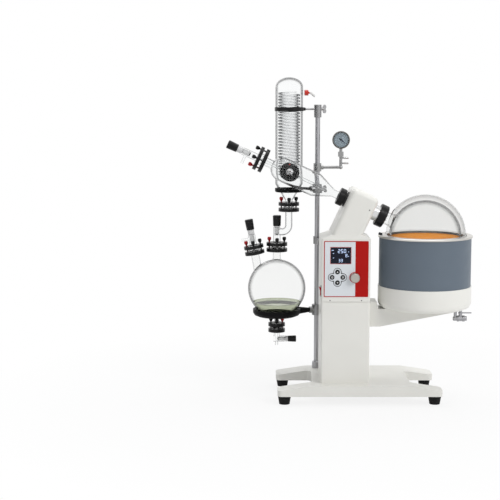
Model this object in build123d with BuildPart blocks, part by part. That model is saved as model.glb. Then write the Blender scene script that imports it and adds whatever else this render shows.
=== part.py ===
from build123d import *
import os
from math import acos, atan2, cos, hypot, pi, radians, sin, sqrt, tan

# Rotary evaporator for a 10 litre evaporating flask and a 5 litre receiving flask.
# Millimetres, +Z up, +X towards the bath, the viewer stands on the -Y side.

# Fits
running_gap = 0.05        # on the radius, turning and sliding fits
seat_gap = 0.2            # beside pieces that are seated on each other
moving_gap = 0.4          # between pieces that pass each other

# Base frame and feet
foot_height = 35
foot_top_radius = 26
foot_bottom_radius = 20
foot_inset = 38
foot_boss_radius = 12
base_x = 35
base_front_y = -189
base_length = 630
foot_end = 27             # from each end of the base to the feet's centres
foot_span = base_length - 2 * foot_end
base_depth = 384
base_height = 40
base_end_height = 22
base_slope_length = 120
base_corner_radius = 18
front_bar_depth = 76
rear_bar_depth = 100
web_x = 45
web_width = 374
sheet = 2.5

# Column, control housing and head
column_x = -20
column_width = 186
column_depth = 190
column_round = 6
column_step = 6           # lower column behind the control housing's front
seam_z = 394
control_top = 634
shoulder_height = 14
shelf_drop = 3
shelf_thickness = 3
spindle_tilt = 25
flask_x = 291.5
flask_y = -42
flask_z = 634.5
head_left = -338          # along the spindle axis, from the flask's centre
head_width = 108
head_rise = 55            # top of the head above the spindle axis
head_depth = 185
head_wall = 8
head_round = 17

# Spindle, drive and evaporating flask
spindle_radius = 22
spindle_flange_radius = 31
spindle_flange_length = 26
spindle_nose_length = 7.7
bearing_radius = 31
bearing_width = 16
bearing_boss_wall = 5
gear_module = 2.5
gear_teeth = 28
pinion_teeth = 14
gear_pressure_angle = 25
gear_backlash = 0.15
gear_width = 14
motor_size = 42
motor_length = 38
motor_shaft_radius = 4
flask_nut_radius = 44
flask_nut_length = 32
flask_nut_lip = 12
nut_bevel = 2.5
flask_radius = 139
flask_wall = 4
flask_neck_radius = 25
flask_rim_radius = 30.3
flask_flare = 14
duct_radius = 12
duct_wall = 2.5

# Vapour head and the joint towards the condenser
seal_flange_radius = 30
seal_flange_thickness = 5
seal_sleeve_radius = 24
seal_sleeve_length = 17
head_nut_radius = 34
head_nut_length = 25
head_nut_offset = 4
glass_wall = 2.4
vapour_tube_radius = 15
vapour_cone_start = -394
vapour_cone_end = -467
vapour_body_radius = 46
vapour_body_end = -609
feed_joint = -699
feed_neck_radius = 16.5
feed_flare = 7
port_joint = -576.5
port_radius = 17

# Flanged joints with clamp plates and thumb screws
flange_thickness = 5
flange_lip = 6
plate_thickness = 13
plate_lobe_radius = 12
stud_radius = 3
thumb_height = 20
thumb_radius = 7.6
port_screw_height = 6

# Condenser
condenser_reach = 150     # behind the spindle
condenser_radius = 54
condenser_wall = 4
condenser_rise = 366      # top above the port
condenser_shoulder = 37
condenser_drop = 53       # end of the straight jacket below the port
outlet_joint_drop = 143   # below the port
outlet_tube_radius = 15
coil_radius = 39
coil_tube_radius = 4
coil_pitch = 11.8
coil_turns = 27.75
coil_start_drop = 22
coolant_top_rise = 306    # upper coolant nozzle above the port
coolant_low_drop = 14
nozzle_radius = 9
nozzle_length = 16
coolant_cap_radius = 11
coolant_cap_length = 15
hose_tip_radius = 4.5
hose_tip_length = 22.6
hose_tip_bend = 40        # degrees, downwards

# Outlet elbow, receiver and its valves
elbow_drop = 100
elbow_reach = 47
elbow_radius = 14
elbow_bend = 26
receiver_joint_drop = 60  # below the elbow
valve_radius = 14
stem_radius = 9
cap_radius = 16.5
cap_length = 42
cap_flutes = 18
cap_flare = 1.2
collar_step = 3.6         # collar outside the stem
receiver_neck_radius = 15.5
receiver_drop = 166       # receiving flask centre below its joint
receiver_radius = 115
receiver_wall = 3.5
receiver_flare = 9
vacuum_tilt = 10.5
vacuum_offset = 90
vacuum_joint_drop = 11.5
drain_joint_drop = 158.5  # below the receiving flask's centre
drain_tube_radius = 11
drain_cock_drop = 47
drain_barrel_radius = 12
drain_stem_radius = 7.5
drain_cap_radius = 13
drain_cap_length = 33

# Support rod and its clamps
rod_dx = 115              # from the condenser's axis
rod_dy = 49
rod_radius = 9.75
rod_top = 1112
rod_foot_radius = 17
rod_foot_height = 28
clamp_boss_radius = 19
clamp_boss_height = 42
clamp_arm_radius = 7
top_clamp_height = 50
strap_z = 1120
strap_height = 15
strap_thickness = 3
stay_z = 597
stay_height = 30

# Vacuum gauge on the rod
gauge_pipe_z = 889
gauge_pipe_radius = 6
gauge_reach = 93
gauge_z = 998
gauge_radius = 35
gauge_depth = 30
gauge_recess = 7

# Bath, its arm and its lift
vessel_clearance = 9
vessel_radius = flask_radius + vessel_clearance
floor_clearance = 23.5
vessel_floor = flask_z - flask_radius - floor_clearance
bath_jacket = 29
bath_radius = vessel_radius + bath_jacket
bath_top = 632
bath_wall_bottom = 445
bath_wall_sheet = 2.5
pan_step = 3
pan_radius = bath_radius + pan_step
pan_bottom = 358
pan_round = 25
pan_sheet = 3
rim_overhang = 4.5
rim_radius = bath_radius + rim_overhang
rim_height = 8
vessel_sheet = 2
heater_height = 16
lift_travel = 150
arm_width = 100
arm_bottom = 289
arm_top = 384
arm_tip_x = 403
arm_sheet = 4
guide_radius = 8
guide_spacing = 64
piston_radius = 8
actuator_radius = 16
actuator_length = 184
dome_seat = 7
dome_radius = vessel_radius + dome_seat
dome_wall = 3
dome_foot = 4
dome_notch_width = 104
dome_notch_height = 98

# Control panel
panel_width = 169
panel_height = 214
panel_x = -19.5
panel_z = 519
panel_thickness = 1.5
display_x = -40.5
display_z = 571
display_width = 77
display_height = 62
pad_x = -52.5
pad_z = 487.5
pad_spacing = 20.5
button_radius = 8.5
button_rise = 2.5
button_travel = 1.0
knob_x = 14
knob_z = 487
knob_radius = 18
knob_height = 24
knob_shaft_radius = 3
board_gap = 10
rocker_z = 432
rocker_y = -113
rocker_height = 34
rocker_width = 21
rocker_throw = 8
rocker_rise = 9           # tips of the paddle in front of its pivot

# Places worked out from the sizes above
base_top = foot_height + base_height
base_rear_y = base_front_y + base_depth
column_front = flask_y - column_depth / 2
cover_y = flask_y + column_depth / 2 - sheet
column_left = column_x - column_width / 2
column_right = column_x + column_width / 2
flask_centre = Vector(flask_x, flask_y, flask_z)
spindle_dir = Vector(cos(radians(spindle_tilt)), 0, -sin(radians(spindle_tilt)))
spindle_up = Vector(sin(radians(spindle_tilt)), 0, cos(radians(spindle_tilt)))
head_right = head_left + head_width
head_in_left = head_left + head_wall
head_in_right = head_right - head_wall
gear_distance = gear_module * (gear_teeth + pinion_teeth) / 2
gear_start = head_in_left + 18
motor_start = gear_start + gear_width + 2
bath_x = flask_x
bath_y = flask_y


# A point on the spindle axis, at a distance from the flask's centre
def on_spindle(distance):
    return flask_centre + spindle_dir * distance


# A plane for a turned outline: local x runs along the axis, local y is the radius
def turning_plane(origin, direction):
    direction = Vector(direction)
    side = Vector(0, 0, 1) if abs(direction.Z) < 0.01 else Vector(0, -1, 0)
    return Plane(origin=origin, x_dir=direction, z_dir=side)


# A plane across an axis, with its local x as given
def cross_plane(origin, direction, x_dir):
    return Plane(origin=origin, x_dir=x_dir, z_dir=direction)


# Revolves a closed outline of (along, radius) points into the current part
def turn(plane, *outline, mode=Mode.ADD):
    with BuildSketch(plane) as profile:
        with BuildLine():
            Polyline(*outline, close=True)
        make_face()
    revolve(profile.sketch, axis=Axis(plane.origin, plane.x_dir), mode=mode)


# A plain round bar or bore in the current part
def bar(plane, start, end, radius, mode=Mode.ADD):
    turn(plane, (start, 0), (start, radius), (end, radius), (end, 0), mode=mode)


# A ring or tube in the current part
def tube(plane, start, end, outer, inner):
    turn(plane, (start, inner), (start, outer), (end, outer), (end, inner))


# A blown bulb with straight necks along its axis, flared where they meet the bulb, and a body that runs
# on from it, in the current part
def bulb(plane, centre, radius, necks, flare, body=None, mode=Mode.ADD):
    with BuildSketch(plane) as section:
        with Locations((centre, 0)):
            Circle(radius)
        for end, neck_radius in necks:
            with Locations(((centre + end) / 2, 0)):
                Rectangle(abs(end - centre), 2 * neck_radius)
        if body:
            with BuildLine():
                Polyline(*body, close=True)
            make_face()
        with Locations((centre, -radius)):
            Rectangle(9 * radius, 2 * radius, mode=Mode.SUBTRACT)
        corners = [
            corner
            for corner in section.vertices()
            for end, neck_radius in necks
            if abs(corner.Y - neck_radius) < 0.01
            and abs(hypot(corner.X - centre, corner.Y) - radius) < 0.01
        ]
        fillet(corners, flare)
    revolve(section.sketch, axis=Axis(plane.origin, plane.x_dir), mode=mode)


# A box in the current part, from its two corners
def block(low, high, mode=Mode.ADD):
    size = [b - a for a, b in zip(low, high)]
    middle = tuple((a + b) / 2 for a, b in zip(low, high))
    with Locations(middle):
        Box(*size, mode=mode)


def save(piece, name):
    piece.part.label = name
    export_step(piece.part, f"parts/{name}.step")


os.makedirs("parts", exist_ok=True)
spindle_plane = turning_plane(flask_centre, spindle_dir)
port = on_spindle(port_joint)
condenser_x = port.X
condenser_y = flask_y + condenser_reach
condenser_plane = turning_plane((condenser_x, condenser_y, 0), (0, 0, 1))
outlet_joint_z = port.Z - outlet_joint_drop
elbow_z = outlet_joint_z - elbow_drop
receiver_x = condenser_x - elbow_reach
receiver_joint_z = elbow_z - receiver_joint_drop
receiver_z = receiver_joint_z - receiver_drop
receiver_centre = Vector(receiver_x, condenser_y, receiver_z)
receiver_plane = turning_plane((receiver_x, condenser_y, 0), (0, 0, 1))
drain_joint_z = receiver_z - drain_joint_drop
cock_z = drain_joint_z - drain_cock_drop
rod_x = condenser_x + rod_dx
rod_y = condenser_y + rod_dy
rod_plane = turning_plane((rod_x, rod_y, 0), (0, 0, 1))

# Base frame: two bars with sloping ends joined by a web, pressed from sheet and open below
with BuildPart() as base_frame:
    half = base_length / 2
    bars_middle = base_front_y + base_depth / 2
    with BuildSketch(Plane.XY.offset(foot_height)) as base_plan:
        with Locations((base_x, base_front_y + front_bar_depth / 2)):
            Rectangle(base_length, front_bar_depth)
        with Locations((base_x, base_rear_y - rear_bar_depth / 2)):
            Rectangle(base_length, rear_bar_depth)
        with Locations((web_x, bars_middle)):
            Rectangle(web_width, base_depth - front_bar_depth)
        fillet(base_plan.vertices(), base_corner_radius)
    extrude(amount=base_height)
    with BuildSketch(Plane(origin=(base_x, bars_middle, foot_height), x_dir=(1, 0, 0), z_dir=(0, -1, 0))):
        with BuildLine():
            Polyline(
                (-half, 0),
                (-half, base_end_height),
                (base_slope_length - half, base_height),
                (half - base_slope_length, base_height),
                (half, base_end_height),
                (half, 0),
                close=True,
            )
        make_face()
    extrude(amount=base_depth, both=True, mode=Mode.INTERSECT)
    offset(amount=-sheet, openings=base_frame.faces().sort_by(Axis.Z)[0])
    foot_places = [
        (base_x + side * foot_span / 2, y)
        for side in (-1, 1)
        for y in (base_front_y + foot_inset, base_rear_y - foot_inset)
    ]
    end_gap = (base_length - foot_span) / 2
    end_slope = (base_height - base_end_height) / base_slope_length
    boss_height = base_end_height + end_slope * end_gap - 0.9 * sheet
    with Locations([(x, y, foot_height) for x, y in foot_places]):
        Cylinder(foot_boss_radius, boss_height, align=(Align.CENTER, Align.CENTER, Align.MIN))
save(base_frame, "base_frame")

with BuildPart() as rubber_feet:
    for x, y in foot_places:
        turn(
            turning_plane((x, y, 0), (0, 0, 1)),
            (0, 0),
            (0, foot_bottom_radius),
            (foot_height - 5, foot_top_radius - 1),
            (foot_height - 5, foot_top_radius),
            (foot_height, foot_top_radius),
            (foot_height, 0),
        )
save(rubber_feet, "rubber_feet")

# Column shell: front and sides in one folded sheet, a shelf at the top, a slot for the bath arm
guide_places = [(column_x, bath_y + side * guide_spacing / 2) for side in (-1, 1)]
piston_x = column_x - 45
piston_y = bath_y + 28
shelf_top = seam_z - shelf_drop
shelf_bottom = shelf_top - shelf_thickness
slot_width = arm_width + 2 * moving_gap + 4
shell_front = column_front + column_step
with BuildPart() as column_shell:
    with BuildSketch(Plane.XY.offset(base_top)) as column_outline:
        with Locations((column_x, (shell_front + cover_y) / 2)):
            Rectangle(column_width, cover_y - shell_front)
        fillet(column_outline.vertices().sort_by(Axis.Y)[:2], column_round)
    extrude(amount=seam_z - base_top)
    block(
        (column_left + sheet, shell_front + sheet, base_top - 1),
        (column_right - sheet, cover_y + 1, seam_z + 1),
        mode=Mode.SUBTRACT,
    )
    block(
        (column_left + sheet / 2, shell_front + sheet / 2, shelf_bottom),
        (column_right - sheet / 2, cover_y, shelf_top),
    )
    block(
        (column_right - 2 * sheet, bath_y - slot_width / 2, arm_bottom - lift_travel - 2),
        (column_right + 1, bath_y + slot_width / 2, arm_top + 2),
        mode=Mode.SUBTRACT,
    )
    for x, y in guide_places:
        bar(
            turning_plane((x, y, 0), (0, 0, 1)),
            shelf_bottom - 1,
            shelf_top + 1,
            guide_radius,
            mode=Mode.SUBTRACT,
        )
    bar(
        turning_plane((piston_x, piston_y, 0), (0, 0, 1)),
        shelf_bottom - 1,
        shelf_top + 1,
        piston_radius + moving_gap,
        mode=Mode.SUBTRACT,
    )
save(column_shell, "column_shell")

# Guide rods stand on the base and end in the shelf
with BuildPart() as guide_rods:
    for x, y in guide_places:
        bar(turning_plane((x, y, 0), (0, 0, 1)), base_top, shelf_top, guide_radius)
save(guide_rods, "guide_rods")

# Lift actuator stands on the shelf with its motor on top
actuator_plane = turning_plane((piston_x, piston_y, 0), (0, 0, 1))
actuator_top = shelf_top + actuator_length
with BuildPart() as lift_actuator:
    bar(actuator_plane, shelf_top, actuator_top, actuator_radius)
    bar(actuator_plane, shelf_top, shelf_top + 6, actuator_radius + 8)
    bar(actuator_plane, actuator_top - 46, actuator_top, actuator_radius + 7)
    bar(actuator_plane, shelf_top - 1, actuator_top - 10, piston_radius + running_gap, mode=Mode.SUBTRACT)
save(lift_actuator, "lift_actuator")

# Rear cover: a flat sheet over the column and the control housing, with vents and an inlet cut-out
inlet_x = column_x - 40
inlet_z = base_top + 60
inlet_width = 28
inlet_height = 22
stay_plate_left = column_left + 4
with BuildPart() as rear_cover:
    block((column_left, cover_y, base_top), (column_right, cover_y + sheet, control_top))
    with BuildSketch(Plane(origin=(column_x, cover_y, seam_z + 90), x_dir=(-1, 0, 0), z_dir=(0, 1, 0))):
        with GridLocations(0, 12, 1, 7):
            SlotOverall(90, 5)
    extrude(amount=2 * sheet, mode=Mode.SUBTRACT)
    block(
        (inlet_x - inlet_width / 2, cover_y - 1, inlet_z - inlet_height / 2),
        (inlet_x + inlet_width / 2, cover_y + sheet + 1, inlet_z + inlet_height / 2),
        mode=Mode.SUBTRACT,
    )
save(rear_cover, "rear_cover")

# Mains inlet: flanged socket with three blades
inlet_plane = Plane(origin=(inlet_x, cover_y + sheet, inlet_z), x_dir=(-1, 0, 0), z_dir=(0, 1, 0))
with BuildPart() as power_inlet:
    with BuildSketch(inlet_plane):
        RectangleRounded(inlet_width + 20, inlet_height + 4, 4)
    extrude(amount=2.5)
    with BuildSketch(inlet_plane):
        RectangleRounded(inlet_width - 2 * seat_gap, inlet_height - 2 * seat_gap, 2)
    extrude(amount=-18)
    with BuildSketch(inlet_plane.offset(2.5)):
        RectangleRounded(inlet_width - 4, inlet_height - 6, 3)
    extrude(amount=-16, mode=Mode.SUBTRACT)
    with BuildSketch(inlet_plane.offset(-14)):
        with Locations((-7, -1), (0, 3), (7, -1)):
            Rectangle(2, 5)
    extrude(amount=11)
save(power_inlet, "power_inlet")

# Head housing: control housing, sloping shoulder and leaning head in one casting
shoulder_top = control_top + shoulder_height


# Horizontal reach of the head's left and right face at a height
def head_face_x(distance, height):
    face = on_spindle(distance)
    return face.X - (face.Z - height) * tan(radians(spindle_tilt))


with BuildPart() as head_housing:
    with BuildSketch(spindle_plane):
        with Locations(((head_left + head_right) / 2, head_rise - 150)):
            Rectangle(head_width, 300)
    extrude(amount=head_depth / 2, both=True)
    top_edges = head_housing.edges().group_by(Axis(flask_centre, spindle_up))[-1]
    front_edges = head_housing.faces().sort_by(Axis.Y)[0].edges()
    upright_edges = front_edges.filter_by(lambda edge: abs(edge.tangent_at(0).dot(spindle_up)) > 0.9)
    fillet(top_edges + upright_edges, head_round)
    block((-900, -900, -900), (900, 900, shoulder_top), mode=Mode.SUBTRACT)
    left_x = head_face_x(head_left, shoulder_top)
    right_x = head_face_x(head_right, shoulder_top)
    with BuildSketch(Plane.XY.offset(control_top)):
        with Locations((column_x, (column_front + cover_y) / 2)):
            Rectangle(column_width, cover_y - column_front)
    with BuildSketch(Plane.XY.offset(shoulder_top)):
        with Locations(((left_x + right_x) / 2, flask_y)):
            Rectangle(right_x - left_x, head_depth)
    loft()
    with BuildSketch(Plane.XY.offset(seam_z)) as control_outline:
        with Locations((column_x, (column_front + cover_y) / 2)):
            Rectangle(column_width, cover_y - column_front)
        fillet(control_outline.vertices().sort_by(Axis.Y)[:2], column_round)
    extrude(amount=control_top - seam_z)
    # hollow inside, open below and behind the control part
    block(
        (column_left + sheet, column_front + sheet, seam_z - 1),
        (column_right - sheet, cover_y + 1, control_top - 2 * sheet),
        mode=Mode.SUBTRACT,
    )
    with BuildSketch(spindle_plane):
        with Locations(((head_in_left + head_in_right) / 2, head_rise - head_wall - 150)):
            Rectangle(head_in_right - head_in_left, 300)
    head_core = extrude(amount=head_depth / 2 - head_wall, both=True, mode=Mode.PRIVATE)
    core_floor = Plane.XY.offset(control_top - 3 * sheet)
    head_core = split(head_core, bisect_by=core_floor, keep=Keep.TOP, mode=Mode.PRIVATE)
    add(head_core, mode=Mode.SUBTRACT)
    # return flange under the front, down on the lower column
    block(
        (column_left + sheet / 2, column_front + sheet / 2, seam_z),
        (column_right - sheet / 2, shell_front + sheet, seam_z + sheet),
    )
    # bearing seats in both walls and the pad that carries the motor
    boss_radius = bearing_radius + bearing_boss_wall
    bar(spindle_plane, head_in_left - 1, head_in_left + 14, boss_radius)
    bar(spindle_plane, head_in_right - 14, head_in_right + 1, boss_radius)
    motor_plane = turning_plane(flask_centre - spindle_up * gear_distance, spindle_dir)
    bar(motor_plane, motor_start + motor_length, head_in_right + 1, 12)
    bar(spindle_plane, head_left - 1, head_right + 1, spindle_radius + 1, mode=Mode.SUBTRACT)
    left_seat = head_in_left - 3
    right_seat = head_in_right + 3
    bar(spindle_plane, left_seat, head_in_left + 15, bearing_radius, mode=Mode.SUBTRACT)
    bar(spindle_plane, head_in_right - 15, right_seat, bearing_radius, mode=Mode.SUBTRACT)
    # openings for the display, buttons, knob shaft and rocker
    front_plane = Plane(origin=(0, column_front - 1, 0), x_dir=(1, 0, 0), z_dir=(0, -1, 0))
    button_places = [
        (pad_x + pad_spacing * cos(angle), pad_z + pad_spacing * sin(angle))
        for angle in (pi / 2, pi, 0, 3 * pi / 2)
    ]
    with BuildSketch(front_plane):
        with Locations((display_x, display_z)):
            Rectangle(display_width, display_height)
        with Locations(button_places):
            Circle(button_radius + moving_gap)
        with Locations((knob_x, knob_z)):
            Circle(knob_shaft_radius + running_gap)
    extrude(amount=-2 * sheet, mode=Mode.SUBTRACT)
    block(
        (
            column_left - 1,
            rocker_y - rocker_width / 2 - moving_gap,
            rocker_z - rocker_height / 2 - 2 * moving_gap,
        ),
        (
            column_left + 2 * sheet,
            rocker_y + rocker_width / 2 + moving_gap,
            rocker_z + rocker_height / 2 + 2 * moving_gap,
        ),
        mode=Mode.SUBTRACT,
    )
save(head_housing, "head_housing")

# Spindle bearings: one ring in each wall of the head
with BuildPart() as spindle_bearings:
    tube(spindle_plane, left_seat, left_seat + bearing_width, bearing_radius, spindle_radius + running_gap)
    tube(spindle_plane, right_seat - bearing_width, right_seat, bearing_radius, spindle_radius + running_gap)
save(spindle_bearings, "spindle_bearings")

# Drive motor on its pad, with a bore for the pinion's shaft
with BuildPart() as drive_motor:
    motor_front = flask_centre - spindle_up * gear_distance + spindle_dir * motor_start
    with BuildSketch(cross_plane(motor_front, spindle_dir, (0, 1, 0))):
        RectangleRounded(motor_size, motor_size, 6)
    extrude(amount=motor_length)
    bar(motor_plane, motor_start - 1, motor_start + 28, motor_shaft_radius + running_gap, mode=Mode.SUBTRACT)
save(drive_motor, "drive_motor")


# Half angle of an involute tooth at a radius
def tooth_half_angle(radius, teeth):
    pitch_radius = gear_module * teeth / 2
    base_radius = pitch_radius * cos(radians(gear_pressure_angle))
    pressure = acos(min(1, base_radius / radius))
    pitch_pressure = radians(gear_pressure_angle)
    half = pi / 2 / teeth - gear_backlash / pitch_radius
    return half + tan(pitch_pressure) - pitch_pressure - tan(pressure) + pressure


# Spur gear with involute flanks in the current part, its first tooth or gap on local x
def gear(plane, teeth, bore, start_angle):
    pitch_radius = gear_module * teeth / 2
    tip_radius = pitch_radius + gear_module
    root_radius = pitch_radius - 1.25 * gear_module
    stations = (root_radius - 0.5, pitch_radius, tip_radius)
    left, right = [
        [
            (r * cos(side * tooth_half_angle(r, teeth)), r * sin(side * tooth_half_angle(r, teeth)))
            for r in stations
        ]
        for side in (1, -1)
    ]
    with BuildSketch(plane) as outline:
        Circle(root_radius)
        with BuildSketch(mode=Mode.PRIVATE) as tooth:
            with BuildLine():
                ThreePointArc(*right)
                Line(right[2], left[2])
                ThreePointArc(*reversed(left))
                Line(left[0], right[0])
            make_face()
        with PolarLocations(0, teeth, start_angle):
            add(tooth.sketch)
        Circle(bore, mode=Mode.SUBTRACT)
    extrude(outline.sketch, amount=gear_width)


# Spindle: hollow shaft with the polished flange and the nose that the flask is drawn against
spindle_end = head_right + spindle_flange_length
with BuildPart() as spindle:
    turn(
        spindle_plane,
        (head_left + 5, duct_radius + seat_gap),
        (head_left + 5, spindle_radius),
        (head_right + moving_gap, spindle_radius),
        (head_right + moving_gap, spindle_flange_radius - 2),
        (head_right + moving_gap + 2, spindle_flange_radius),
        (spindle_end, spindle_flange_radius),
        (spindle_end, flask_rim_radius),
        (spindle_end + spindle_nose_length, flask_rim_radius),
        (spindle_end + spindle_nose_length, duct_radius + seat_gap),
    )
save(spindle, "spindle")

with BuildPart() as spindle_gear:
    gear(cross_plane(on_spindle(gear_start), spindle_dir, -spindle_up), gear_teeth, spindle_radius + seat_gap / 2, 0)
save(spindle_gear, "spindle_gear")

with BuildPart() as drive_pinion:
    pinion_centre = on_spindle(gear_start) - spindle_up * gear_distance
    pinion_plane = cross_plane(pinion_centre, spindle_dir, spindle_up)
    gear(pinion_plane, pinion_teeth, motor_shaft_radius / 2, 180 / pinion_teeth)
    bar(motor_plane, gear_start, motor_start + 26, motor_shaft_radius)
save(drive_pinion, "drive_pinion")

# Flask nut draws the flask's rim against the spindle nose
nut_end = spindle_end + flask_nut_length
rim_end = nut_end - flask_nut_lip - seat_gap
with BuildPart() as flask_nut:
    turn(
        spindle_plane,
        (spindle_end, flask_rim_radius + seat_gap),
        (spindle_end, flask_nut_radius - nut_bevel),
        (spindle_end + nut_bevel, flask_nut_radius),
        (nut_end - nut_bevel, flask_nut_radius),
        (nut_end, flask_nut_radius - nut_bevel),
        (nut_end, flask_neck_radius + seat_gap),
        (nut_end - flask_nut_lip, flask_neck_radius + seat_gap),
        (nut_end - flask_nut_lip, flask_rim_radius + seat_gap),
    )
save(flask_nut, "flask_nut")

# Evaporating flask: a blown sphere with a flared neck and a rim
with BuildPart() as evaporating_flask:
    flask_mouth = spindle_end + spindle_nose_length
    bulb(spindle_plane, 0, flask_radius, [(flask_mouth, flask_neck_radius)], flask_flare)
    bar(spindle_plane, flask_mouth, rim_end, flask_rim_radius)
    bulb(
        spindle_plane,
        0,
        flask_radius - flask_wall,
        [(flask_mouth - 1, flask_neck_radius - flask_wall)],
        flask_flare + flask_wall,
        mode=Mode.SUBTRACT,
    )
save(evaporating_flask, "evaporating_flask")

# Vapour duct: turns with the spindle and carries the vapour to the vapour head
seal_face = head_left - seal_flange_thickness
seal_sleeve_end = seal_face - seal_sleeve_length
duct_left = seal_sleeve_end - 14
duct_right = rim_end + 22
with BuildPart() as vapour_duct:
    turn(
        spindle_plane,
        (duct_left, duct_radius - duct_wall),
        (duct_left, duct_radius),
        (spindle_end + spindle_nose_length + seat_gap, duct_radius),
        (spindle_end + spindle_nose_length + seat_gap, flask_neck_radius - flask_wall - seat_gap),
        (spindle_end + spindle_nose_length + 6, flask_neck_radius - flask_wall - seat_gap),
        (spindle_end + spindle_nose_length + 14, duct_radius),
        (duct_right, duct_radius),
        (duct_right, duct_radius - duct_wall),
    )
save(vapour_duct, "vapour_duct")

# Vacuum seal: flange on the head and a threaded sleeve that the duct turns in
with BuildPart() as vacuum_seal:
    turn(
        spindle_plane,
        (seal_sleeve_end, duct_radius + running_gap),
        (seal_sleeve_end, seal_sleeve_radius),
        (seal_face, seal_sleeve_radius),
        (seal_face, seal_flange_radius),
        (head_left, seal_flange_radius),
        (head_left, spindle_radius + 1 - seat_gap),
        (head_left + 4, spindle_radius + 1 - seat_gap),
        (head_left + 4, duct_radius + running_gap),
    )
save(vacuum_seal, "vacuum_seal")

# Vapour head nut draws the glass flange against the sleeve
nut_right = seal_face - head_nut_offset
nut_left = nut_right - head_nut_length
glass_start = seal_sleeve_end - seat_gap
glass_flange_end = nut_left + 6 + seat_gap
with BuildPart() as vapour_head_nut:
    turn(
        spindle_plane,
        (nut_left, vapour_tube_radius + seat_gap),
        (nut_left, head_nut_radius - nut_bevel),
        (nut_left + nut_bevel, head_nut_radius),
        (nut_right - nut_bevel, head_nut_radius),
        (nut_right, head_nut_radius - nut_bevel),
        (nut_right, seal_sleeve_radius + seat_gap),
        (nut_left + 6, seal_sleeve_radius + seat_gap),
        (nut_left + 6, vapour_tube_radius + seat_gap),
    )
save(vapour_head_nut, "vapour_head_nut")

# Vapour head: tube, cone, body with a round end, feed neck and the port towards the condenser
port_plane = turning_plane(port, (0, 1, 0))
port_joint_y = condenser_reach / 2 - 4
feed_flange_start = feed_joint + flange_thickness
with BuildPart() as vapour_head:
    bulb(
        spindle_plane,
        vapour_body_end,
        vapour_body_radius,
        [(feed_joint, feed_neck_radius)],
        feed_flare,
        [
            (vapour_body_end, 0),
            (vapour_body_end, vapour_body_radius),
            (vapour_cone_end, vapour_body_radius),
            (vapour_cone_start, vapour_tube_radius),
            (glass_flange_end, vapour_tube_radius),
            (glass_flange_end, seal_sleeve_radius - seat_gap),
            (glass_start, seal_sleeve_radius - seat_gap),
            (glass_start, 0),
        ],
    )
    bar(spindle_plane, feed_joint, feed_flange_start, feed_neck_radius + flange_lip)
    bar(port_plane, 0, port_joint_y, port_radius)
    bar(port_plane, port_joint_y - flange_thickness, port_joint_y, port_radius + flange_lip)
    bulb(
        spindle_plane,
        vapour_body_end,
        vapour_body_radius - glass_wall,
        [(feed_joint - 1, feed_neck_radius - glass_wall)],
        feed_flare + glass_wall,
        [
            (vapour_body_end, 0),
            (vapour_body_end, vapour_body_radius - glass_wall),
            (vapour_cone_end, vapour_body_radius - glass_wall),
            (vapour_cone_start, vapour_tube_radius - glass_wall),
            (glass_start + 1, vapour_tube_radius - glass_wall),
            (glass_start + 1, 0),
        ],
        mode=Mode.SUBTRACT,
    )
    bar(port_plane, 0, port_joint_y + 1, port_radius - glass_wall, mode=Mode.SUBTRACT)
save(vapour_head, "vapour_head")

# Condenser jacket: straight jacket with a round top, a funnel below, the port and two coolant nozzles
jacket_top = port.Z + condenser_rise
jacket_end = port.Z - condenser_drop
funnel_end = outlet_joint_z + flange_thickness + plate_thickness + 9
coil_start_z = port.Z - coil_start_drop
coil_end_z = coil_start_z + coil_pitch * coil_turns
top_nozzle_z = port.Z + coolant_top_rise
low_nozzle_z = port.Z - coolant_low_drop
top_nozzle_plane = turning_plane((condenser_x, condenser_y, top_nozzle_z), (1, 0, 0))
low_nozzle_plane = turning_plane((condenser_x, condenser_y, low_nozzle_z), (0, 1, 0))
nozzle_end = condenser_radius + nozzle_length


# Closed outline of the jacket's half section, shrunk by a wall
def jacket_half(wall):
    radius = condenser_radius - wall
    top = jacket_top - wall
    shoulder = jacket_top - condenser_shoulder
    low_tube = outlet_tube_radius - min(wall, glass_wall)
    with BuildSketch(condenser_plane) as half_section:
        with BuildLine():
            Polyline(
                (top, 0),
                (outlet_joint_z, 0),
                (outlet_joint_z, low_tube),
                (funnel_end, low_tube),
                (jacket_end, radius),
                (shoulder, radius),
            )
            EllipticalCenterArc((shoulder, 0), top - shoulder, radius, start_angle=0, arc_size=90)
        make_face()
    return half_section.sketch


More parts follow.
